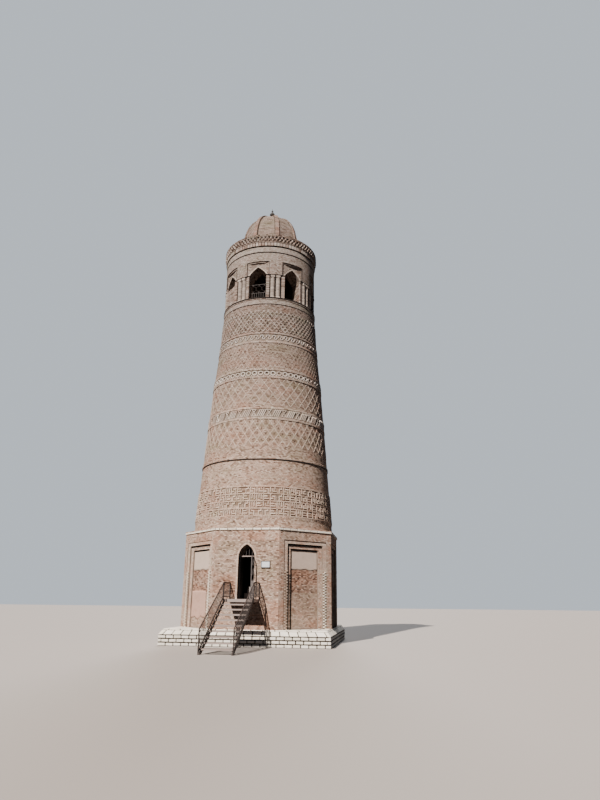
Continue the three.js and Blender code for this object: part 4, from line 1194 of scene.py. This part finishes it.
arch_bricks = []
rims = []
soffits = []
for i in range(8):
    turn = lantern_turn + i * eighth
    for side in (1, -1):
        jamb = flat_wall(turn + side * quarter, -arch_half)
        u0, u1 = sorted((-side * jamb_outer, -side * jamb_inner))
        for k, (z0, z1) in enumerate(courses_between(sill_top, lantern_spring)):
            for a, b in bond(u0, u1, brick_length, 0.5 * (k % 2)):
                pier_bricks.append(brick_at(jamb, a, b, z0, z1, 0.004, tone(-0.05), 0.03))
    panel = flat_wall(turn, panel_distance)
    for k, (z0, z1) in enumerate(courses_between(lantern_spring, panel_top)):
        cut = keel_reach(z0, voussoir)
        spans = ((-panel_half, -cut), (cut, panel_half)) if cut > 0.02 else ((-panel_half, panel_half),)
        for u0, u1 in spans:
            for a, b in bond(u0, u1, header_length, 0.5 * (k % 2)):
                arch_bricks.append(brick_at(panel, a, b, z0, z1, 0.006, tone(0.0, 0.8), 0.03))
        edge = math.asin(panel_half / lantern_radius)
        course_of(arch_bricks, lantern_wall, z0, z1, turn + edge, turn + eighth - edge, shift=0.5 * (k % 2),
                  depth=0.07, length=header_length, spread=0.8, bias=0.12)
        # Thin near-black lines at the panel's sides are painted shade
        for side in (-1, 1):
            near, far = sorted((turn + side * edge, turn + side * (edge + 0.01)))
            painted_shade_bricks.append(brick_at(lantern_wall, near, far, z0, z1, face_out + 0.004, tone()))
    head_edge = math.asin(panel_half / panel_head_radius)
    course_of(arch_bricks, round_wall(lambda z: panel_head_radius), head_foot, panel_top, turn - head_edge,
              turn + head_edge, length=header_length, depth=0.1, bias=0.05)
    inner_line = keel_arch(arch_half - 0.004, lantern_spring, lantern_apex, 14)
    outer_line = keel_arch(arch_half, lantern_spring, lantern_apex, 14, voussoir)
    for a, b, c, d in zip(inner_line, inner_line[1:], outer_line[1:], outer_line):
        for side in (-1, 1):
            corners = [(side * p.x, p.y) for p in (a, d, c, b)]
            shrink = [(u + (corners[(j + 2) % 4][0] - u) * 0.04, z + (corners[(j + 2) % 4][1] - z) * 0.04)
                      for j, (u, z) in enumerate(corners)]
            rims.append(block_on(panel, shrink if side > 0 else shrink[::-1], 0.045, 0.08))
            for row in range(soffit_rows):
                y0, y1 = (0.01 + soffit_pitch * (row + share) for share in (0.04, 0.96))
                front, back = ([panel(side * p.x * 0.985, p.y + rise, -y)[0] for p, y in
                                ((a, y0), (b, y0), (b, y1), (a, y1))] for rise in (-0.012, 0.05))
                soffits.append(front + back if side < 0 else front[::-1] + back[::-1])

plain_band(arch_bricks, panel_top, 23.49, place=lantern_wall, bias=0.2, blush=-0.06)
infill_turn = lantern_turn + 7 * eighth
infill_wall = flat_wall(infill_turn, pier_front)
infill_bricks = []
for k, (z0, z1) in enumerate(courses_between(sill_top, infill_top)):
    for a, b in bond(-arch_half, arch_half, brick_length, 0.5 * (k % 2)):
        infill_bricks.append(brick_at(infill_wall, a, b, z0, z1, face_out, tone(0.12), 0.04))
lay("lantern_pier_bricks", pier_bricks)
lay("lantern_arch_bricks", arch_bricks)
lay("lantern_infill_bricks", infill_bricks)
# Brick that smoke has greyed: the voussoirs stay the paler, and the columns are a little darker
smoked_brick = dressed_stone("smoked pale brick", (0x968A80, 0xB0A398, 0xC4B8AE), 0x887C73, 0.9, 0.5)
column_brick = dressed_stone("smoked column brick", (0x8E827A, 0xA99D94, 0xC0B5AC), 0x82766E, 0.9, 0.5)
cut_stones("lantern_voussoirs", rims, smoked_brick, bevel=0.0, uneven=0.004)
cut_stones("lantern_soffit_bricks", soffits, brick_finish, bevel=0.0, uneven=0.006)
cut_stones("lantern_capitals", capitals, column_brick, bevel=0.008, uneven=0.005)


def round_drums(name, drums, radius, finish, sides=12):
    """Stacked round bricks, each (centre, height, tone), with a slight round edge."""
    points, faces, tones = [], [], []
    for centre, height, shade in drums:
        for share, grow in ((-0.5, -0.006), (-0.36, 0.0), (0.36, 0.0), (0.5, -0.006)):
            for k in range(sides):
                angle = math.tau * k / sides
                reach = radius + grow
                corner = Vector((reach * math.cos(angle), reach * math.sin(angle), share * height))
                points.append(centre + corner)
        tones += [shade] * 4 * sides
        start = len(points) - 4 * sides
        for ring in range(3):
            for k in range(sides):
                a = start + ring * sides + k
                b = start + ring * sides + (k + 1) % sides
                faces.append((a, b, b + sides, a + sides))
        faces.append(tuple(start + k for k in reversed(range(sides))))
        faces.append(tuple(start + 3 * sides + k for k in range(sides)))
    return finished(new_piece(name, points, faces, tones), finish)


round_drums("lantern_column_bricks", column_drums, column_radius, column_brick)


# Cornice, roof and dome
# Two rings of pale brick step out over grooves painted black as shade, with a row of headers on end under the
# upper one. The parapet over them has two rows of dog-tooth bricks set on the diagonal over backings darkened
# as painted shade. Behind it a brick dome of eight curved panels rises between raised ribs.

header_foot = 24.0
header_head = 24.23
headers = 96
cornice_bricks = []
for low, high, radius in ((23.575, 23.92, 3.0), (header_head, 24.25, 3.036)):
    ring_face = round_wall(lambda z: radius)
    plain_band(cornice_bricks, low, high, out=0.012, bias=0.36, blush=-0.06, place=ring_face, depth=0.08)
for k in range(headers):
    u = math.tau * k / headers
    cornice_bricks.append(brick_at(ring_face, u, u + 0.8 * math.tau / headers, header_foot, header_head, 0.03,
                                   tone(0.3), 0.08))
# The bricks behind the headers are darkened as painted shade in their gaps
plain_band(cornice_bricks, header_foot, header_head, out=0.004, bias=-0.35, place=ring_face)
lay("cornice_bricks", cornice_bricks)
# Painted shade in the grooves under and over the lower ring
for low, high, radius in ((23.49, 23.575, 2.998), (23.92, header_foot, 2.99)):
    plain_band(painted_shade_bricks, low, high, out=0.0, place=round_wall(lambda z: radius))

crown_radius = 3.06
tooth_head = 24.475
upper_foot = 24.52
upper_head = 24.645
coping_foot = 24.7
coping_head = 24.79
crown_face = round_wall(lambda z: crown_radius)
# The parapet's plain rows: from, to, how far out, tone and depth; the darkest, behind the lower teeth, is
# painted shade. Its coping is two bricks wide
crown_rows = ((24.252, 24.3, 0.02, 0.0, 0.05), (tooth_head, upper_foot, 0.05, -0.1, 0.1),
              (upper_head, coping_foot, 0.06, -0.15, 0.1), (24.3, tooth_head, 0.003, -0.48, 0.05))
crown_bricks = []
for low, high, out, bias, depth in crown_rows:
    plain_band(crown_bricks, low, high, out=out, bias=bias, place=crown_face, depth=depth)
# Painted shade behind the upper teeth
plain_band(painted_shade_bricks, upper_foot, upper_head, out=0.003, place=crown_face)
for out, depth in ((0.07, 0.25), (-0.19, 0.17)):
    plain_band(crown_bricks, coping_foot, coping_head, out=out, bias=-0.25, place=crown_face, depth=depth)
tooth = 0.12
teeth_round = 80
for low, high, shift in ((24.35, tooth_head, 0.0), (upper_foot, upper_head, 0.5)):
    for k in range(teeth_round):
        u = math.tau * (k + shift) / teeth_round
        centre = crown_face(u, (low + high) / 2, 0.0)[0]
        crown_bricks.append((centre, (tooth, tooth, high - low), (0, 0, u + eighth), *tone(0.02, 0.9)))
lay("cornice_crown_bricks", crown_bricks)
lay("painted_shade_recess_bricks", painted_shade_bricks, finish=painted_shade, gap=0.002, uneven=0.001)

dome_radius = 1.96
drum_top = 25.4
dome_rise = 2.47
dome_fullness = 3.26
dome_shoulder = 1 / 1.82
deck_top = 24.53
rib_out = 0.045
rib_half = 0.135
rib_gap = 0.045
foot_band_tall = 0.2
least_across = 0.03
rib_end = 0.12
panel_sink = -0.015
rib_sink = -0.035
panel_depth = 0.05
rib_depth = 0.11


def dome_profile(samples=240):
    """The dome's corner line from the deck to the crown, as (radius, z)."""
    points = [Vector((dome_radius, deck_top)), Vector((dome_radius, drum_top))]
    for i in range(samples, -1, -1):
        r = dome_radius * math.sin(i / samples * quarter)
        share = (1 - (r / dome_radius) ** dome_fullness) ** dome_shoulder
        points.append(Vector((r, drum_top + dome_rise * share)))
    return points


def walk(points, step):
    """Places along a line at equal steps: (point, direction)."""
    places = []
    left = step / 2
    for a, b in zip(points, points[1:]):
        length = (b - a).length
        at = left
        while at < length:
            places.append((a + (b - a) * (at / length), (b - a).normalized()))
            at += step
        left = at - length
    return places


dome_bricks = []
rib_bricks = []
to_face = math.cos(math.pi / 8)
for k, (at, way) in enumerate(walk(dome_profile(), course)):
    tilt = math.atan2(way.x * to_face, way.y)
    across = at.x * math.sin(math.pi / 8) - rib_half - rib_gap
    blush = 0.25 if drum_top < at.y < drum_top + foot_band_tall else -0.08
    for face in range(8):
        turn = face * eighth
        if across > least_across:
            for a, b in bond(-across, across, brick_length, 0.5 * (k % 2)):
                centre = flat_wall(turn, at.x * to_face)((a + b) / 2, at.y, panel_sink)[0]
                dome_bricks.append((centre, (b - a, panel_depth, course), (tilt, 0, turn),
                                    *tone(-0.07, 0.5, blush)))
        if at.y > drum_top and at.x > rib_end:
            corner = turn + eighth / 2
            tilt_rib = math.atan2(way.x, way.y)
            centre = flat_wall(corner, at.x + rib_out)(0, at.y, rib_sink)[0]
            rib_bricks.append((centre, (2 * rib_half, rib_depth, course), (tilt_rib, 0, corner),
                               *tone(0.02, 0.8, 0.12)))
lay("dome_panel_bricks", dome_bricks)
lay("dome_rib_bricks", rib_bricks)
refinish(mortar_finish, "lantern_floor", "base_floor")
# Inside the lantern this dark mortar is painted shade, seen through the arches on the cores' inner faces
refinish(smoky_mortar_and_shade, "lantern_base", "lantern_sill", "lantern_arch_ring", "cornice", "lantern_arch_infill",
         "cornice_crown", "roof_deck", "dome", *(f"lantern_pier_{i + 1}" for i in range(8)))


# Painted steelwork
# The stair, balustrades and lantern railing are welded square tube and flat bar, brushed with dark brown
# oil paint that has dulled and chipped. The gate and its frame are light grey. Each chip shows rusty steel,
# the brush leaves fine ridges, and dust lies on upward faces.

def brushed_paint(name, coat, chip, dust, dusting, roughness=0.55):
    """Paint brushed on steel, chipped, and dusty where it faces up."""
    made, tree, surface = plain_material(name)
    place = add_node(tree, "ShaderNodeTexCoord", out="Object")
    wear = add_node(tree, "ShaderNodeTexNoise",
                    {"Vector": place, "Scale": 28, "Detail": 8, "Roughness": 0.75})
    chips = add_node(tree, "ShaderNodeValToRGB", {0: wear}, stops=((0.62, 0), (0.68, 0.8)))
    facing = add_node(tree, "ShaderNodeNewGeometry", out="Normal")
    upward = add_node(tree, "ShaderNodeSeparateXYZ", {0: facing}, "Z")
    lying = add_node(tree, "ShaderNodeValToRGB", {0: upward}, stops=((0.4, 0), (0.95, dusting)))
    tint = linear(coat)
    for share, over in ((chips, chip), (lying, dust)):
        tint = add_node(tree, "ShaderNodeMix", {0: share, 6: tint, 7: linear(over)}, 2, data_type="RGBA")
    tree.links.new(tint, surface.inputs["Base Color"])
    rough = add_node(tree, "ShaderNodeValToRGB", {0: wear}, stops=((0.3, roughness), (0.7, roughness + 0.25)))
    tree.links.new(rough, surface.inputs["Roughness"])
    brushed = add_node(tree, "ShaderNodeTexNoise", {"Vector": place, "Scale": 160, "Detail": 2})
    bump = add_node(tree, "ShaderNodeBump", {"Height": brushed, "Strength": 0.25, "Distance": 0.001})
    tree.links.new(bump, surface.inputs["Normal"])
    return made


brown_paint = brushed_paint("dulled brown oil paint on steel", 0x2B2220, 0x4E382E, 0x6E605A, 0.18)
grey_paint = brushed_paint("dulled grey oil paint on steel", 0x524D4D, 0x45382F, 0x6E6661, 0.3)
refinish(brown_paint, "stair_landing", "stair_flight", "lantern_railing", "landing_balustrade_left",
         "landing_balustrade_right", "flight_balustrade_left", "flight_balustrade_right")
refinish(grey_paint, "gate_leaf", "door_frame")


# Stair treads
# Each tread and the landing carry a worn steel plate with raised bars across it, trodden bare to a light
# grey, and each tread sits on two welded gussets. The nosings and the landing's edges have kept a pale paint,
# and a pale strip across the doorway's transom is a painted highlight.

stair_x = -0.04
stair_half = 0.755
landing_front = -5.4503
flight_run = 3.7
risers = 10
rise = door_sill / risers
run = flight_run / risers
stair_foot = landing_front - flight_run
worn_plate = brushed_paint("steel plate trodden bare", 0x73675F, 0x5A4F49, 0x877970, 0.5, 0.5)
pale_edge_and_highlight = brushed_paint("pale paint on plate edges and painted highlight", 0x988A84, 0x75675F, 0x988A84, 0.2, 0.5)
hair = 0.0005
plate = 0.006
tread_inset = 0.055
tread_run = 0.3
tread_thick = 0.06
grip_inset = 0.09
grip_top = 0.011
grips = 4
landing_plates = 3
plate_run = 0.404
plate_pitch = 0.412
edge_out = 0.005
edge_foot = 0.139
edge_head = 0.002


def slab(x0, x1, y0, y1, z0, z1):
    """A level block's eight corners, its front side facing -Y."""
    front = [Vector((x, y0, z)) for x, z in ((x0, z0), (x1, z0), (x1, z1), (x0, z1))]
    return front + [corner + Vector((0, y1 - y0, 0)) for corner in front]


def across_stair(inset, y0, y1, z0, z1):
    """A block right across the stair, the inset short of its sides."""
    half = stair_half - inset
    return slab(stair_x - half, stair_x + half, y0, y1, z0, z1)


plates = []
nosings = []
gussets = []
for i in range(1, risers):
    z = i * rise
    nose = stair_foot + (i - 0.42) * run
    plates.append(across_stair(tread_inset, nose - plate, nose - plate + tread_run, z + hair, z + plate))
    nosings.append(across_stair(tread_inset, nose - plate, nose - hair, z - tread_thick, z))
    for k in range(grips):
        y = nose + 0.03 + 0.075 * k
        plates.append(across_stair(grip_inset, y, y + 0.012, z + plate, z + grip_top))
    for side in (-1, 1):
        x = stair_x + side * (stair_half - 0.08)
        gussets.append(slab(x - 0.02, x + 0.02, nose + 0.04, nose + 0.26, z - 0.095, z - 0.061))
for k in range(landing_plates):
    y0 = landing_front + 0.004 + plate_pitch * k
    plates.append(across_stair(0.01, y0, y0 + plate_run, door_sill + hair, door_sill + plate))
landing_edges = []
landing_back = -base_apothem - 0.02
z0, z1 = door_sill - edge_foot, door_sill - edge_head
for side in (-1, 1):
    x0, x1 = sorted((stair_x + side * (stair_half + hair), stair_x + side * (stair_half + edge_out)))
    landing_edges.append(slab(x0, x1, landing_front - edge_out, landing_back, z0, z1))
landing_edges.append(across_stair(0, landing_front - edge_out, landing_front - hair, z0, z1))
# A pale strip over the transom is a painted highlight: the lit part of the grey frame
transom_highlight = slab(-0.34, 0.34, -3.963, -3.9605, 4.418, 4.462)
cut_stones("transom_painted_highlight", [transom_highlight], pale_edge_and_highlight, bevel=0.0, uneven=0.0)
cut_stones("stair_tread_plates", plates, worn_plate, bevel=0.0015, uneven=0.0)
cut_stones("landing_edges", landing_edges, pale_edge_and_highlight, bevel=0.001, uneven=0.0)
cut_stones("stair_nosings", nosings, pale_edge_and_highlight, bevel=0.001, uneven=0.0)

# Thin crossed bars fill the balustrades under their rails, and a flat skirt runs along their foot

def leaning_bar(x, y0, z0, y1, z1, wide, thick):
    """A flat bar in an upright plane beside the stair, from one point to another."""
    way = Vector((0, y1 - y0, z1 - z0)).normalized()
    side = Vector((0, -way.z, way.y)) * wide / 2
    near, far = Vector((x - thick / 2, y0, z0)), Vector((x - thick / 2, y1, z1))
    face = [near - side, far - side, far + side, near + side]
    return face + [corner + Vector((thick, 0, 0)) for corner in face]


def lattice_fill(x, y0, y1, low0, low1, high0, high1, pitch=0.22, samples=24):
    """Diagonal thin bars, both ways, between a lower and an upper rail that may slope."""
    bars = []
    tall = min(high0 - low0, high1 - low1)
    for lean, shift in ((1, -0.004), (-1, 0.004)):
        start = y0 - tall
        while start < y1 + tall:
            points = []
            for part in range(samples + 1):
                rise_share = part / samples
                y = start + lean * rise_share * tall
                share = (y - y0) / (y1 - y0)
                if 0 <= share <= 1:
                    low, high = low0 + (low1 - low0) * share, high0 + (high1 - high0) * share
                    points.append((y, low + (high - low) * rise_share))
            if len(points) > 1:
                bars.append(leaning_bar(x + shift, *points[0], *points[-1], 0.006, 0.003))
            start += pitch
    return bars


fills = []
skirts = []
rail_x = stair_half + 0.0203
rail_low = door_sill + 0.13
rail_high = door_sill + 0.78
foot_rail_low = 0.155
foot_rail_high = 1.005
end_gap = 0.04
for side in (-1, 1):
    x = stair_x + side * rail_x
    fills += lattice_fill(x, stair_foot + end_gap, landing_front - end_gap, foot_rail_low, rail_low,
                          foot_rail_high, rail_high)
    fills += lattice_fill(x, landing_front + 0.0003 + end_gap, -base_apothem - 0.05, rail_low, rail_low,
                          rail_high, rail_high)
    skirts.append(leaning_bar(x, stair_foot + 0.05, 0.075, landing_front - 0.045, door_sill + 0.045, 0.08,
                              0.006))
cut_stones("stair_lattice", fills, brown_paint, bevel=0.0, uneven=0.0)
cut_stones("stair_skirts", skirts, brown_paint, bevel=0.0, uneven=0.0)
cut_stones("stair_tread_angles", gussets, brown_paint, bevel=0.002, uneven=0.0)


# Finial and plaque
# A turned iron finial with two bulbs, dark and weathered, closes the dome. Beside the door hangs a bare
# plate of pale, glossy enamel, faintly streaked by rain, in a thin metal frame held by four small screws.

finial_metal = brushed_paint("weathered dark iron", 0x3A3634, 0x5A4438, 0x6E655E, 0.2, 0.5)
enamel, enamel_tree, enamel_surface = plain_material("pale vitreous enamel")
enamel_place = add_node(enamel_tree, "ShaderNodeTexCoord", out="Object")
streaks = add_node(enamel_tree, "ShaderNodeTexNoise", {"Vector": enamel_place, "Scale": 6, "Detail": 6})
streaked = add_node(enamel_tree, "ShaderNodeValToRGB", {0: streaks},
                    stops=((0.35, linear(0xC9D3DC)), (0.65, linear(0xE6ECF0))))
enamel_tree.links.new(streaked, enamel_surface.inputs["Base Color"])
enamel_surface.inputs["Roughness"].default_value = 0.22
refinish(finial_metal, "dome_finial")
refinish(enamel, "plaque")

plaque_x = 1.04
plaque_z = 4.01
plaque_half_wide = 0.24
plaque_half_tall = 0.17
frame_wide = 0.03
screw_half = 0.009


def plaque_box(inset):
    """The corners of the plaque's outline, drawn in by the inset."""
    wide, tall = plaque_half_wide - inset, plaque_half_tall - inset
    return upright(plaque_x - wide, plaque_x + wide, plaque_z - tall, plaque_z + tall)


plaque_face = flat_wall(0, base_apothem + 0.06)
outer, inner = plaque_box(0), plaque_box(frame_wide)
frame_bars = [(outer[i], outer[(i + 1) % 4], inner[(i + 1) % 4], inner[i]) for i in range(4)]
screws = [upright(x - screw_half, x + screw_half, z - screw_half, z + screw_half)
          for x, z in sorted(plaque_box(frame_wide / 2))]
cut_stones("plaque_screws", [block_on(plaque_face, screw, 0.02, 0.012) for screw in screws], grey_paint,
           bevel=0.005, uneven=0.0)
cut_stones("plaque_frame", [block_on(plaque_face, bar, 0.014, 0.013) for bar in frame_bars], grey_paint,
           bevel=0.003, uneven=0.0)
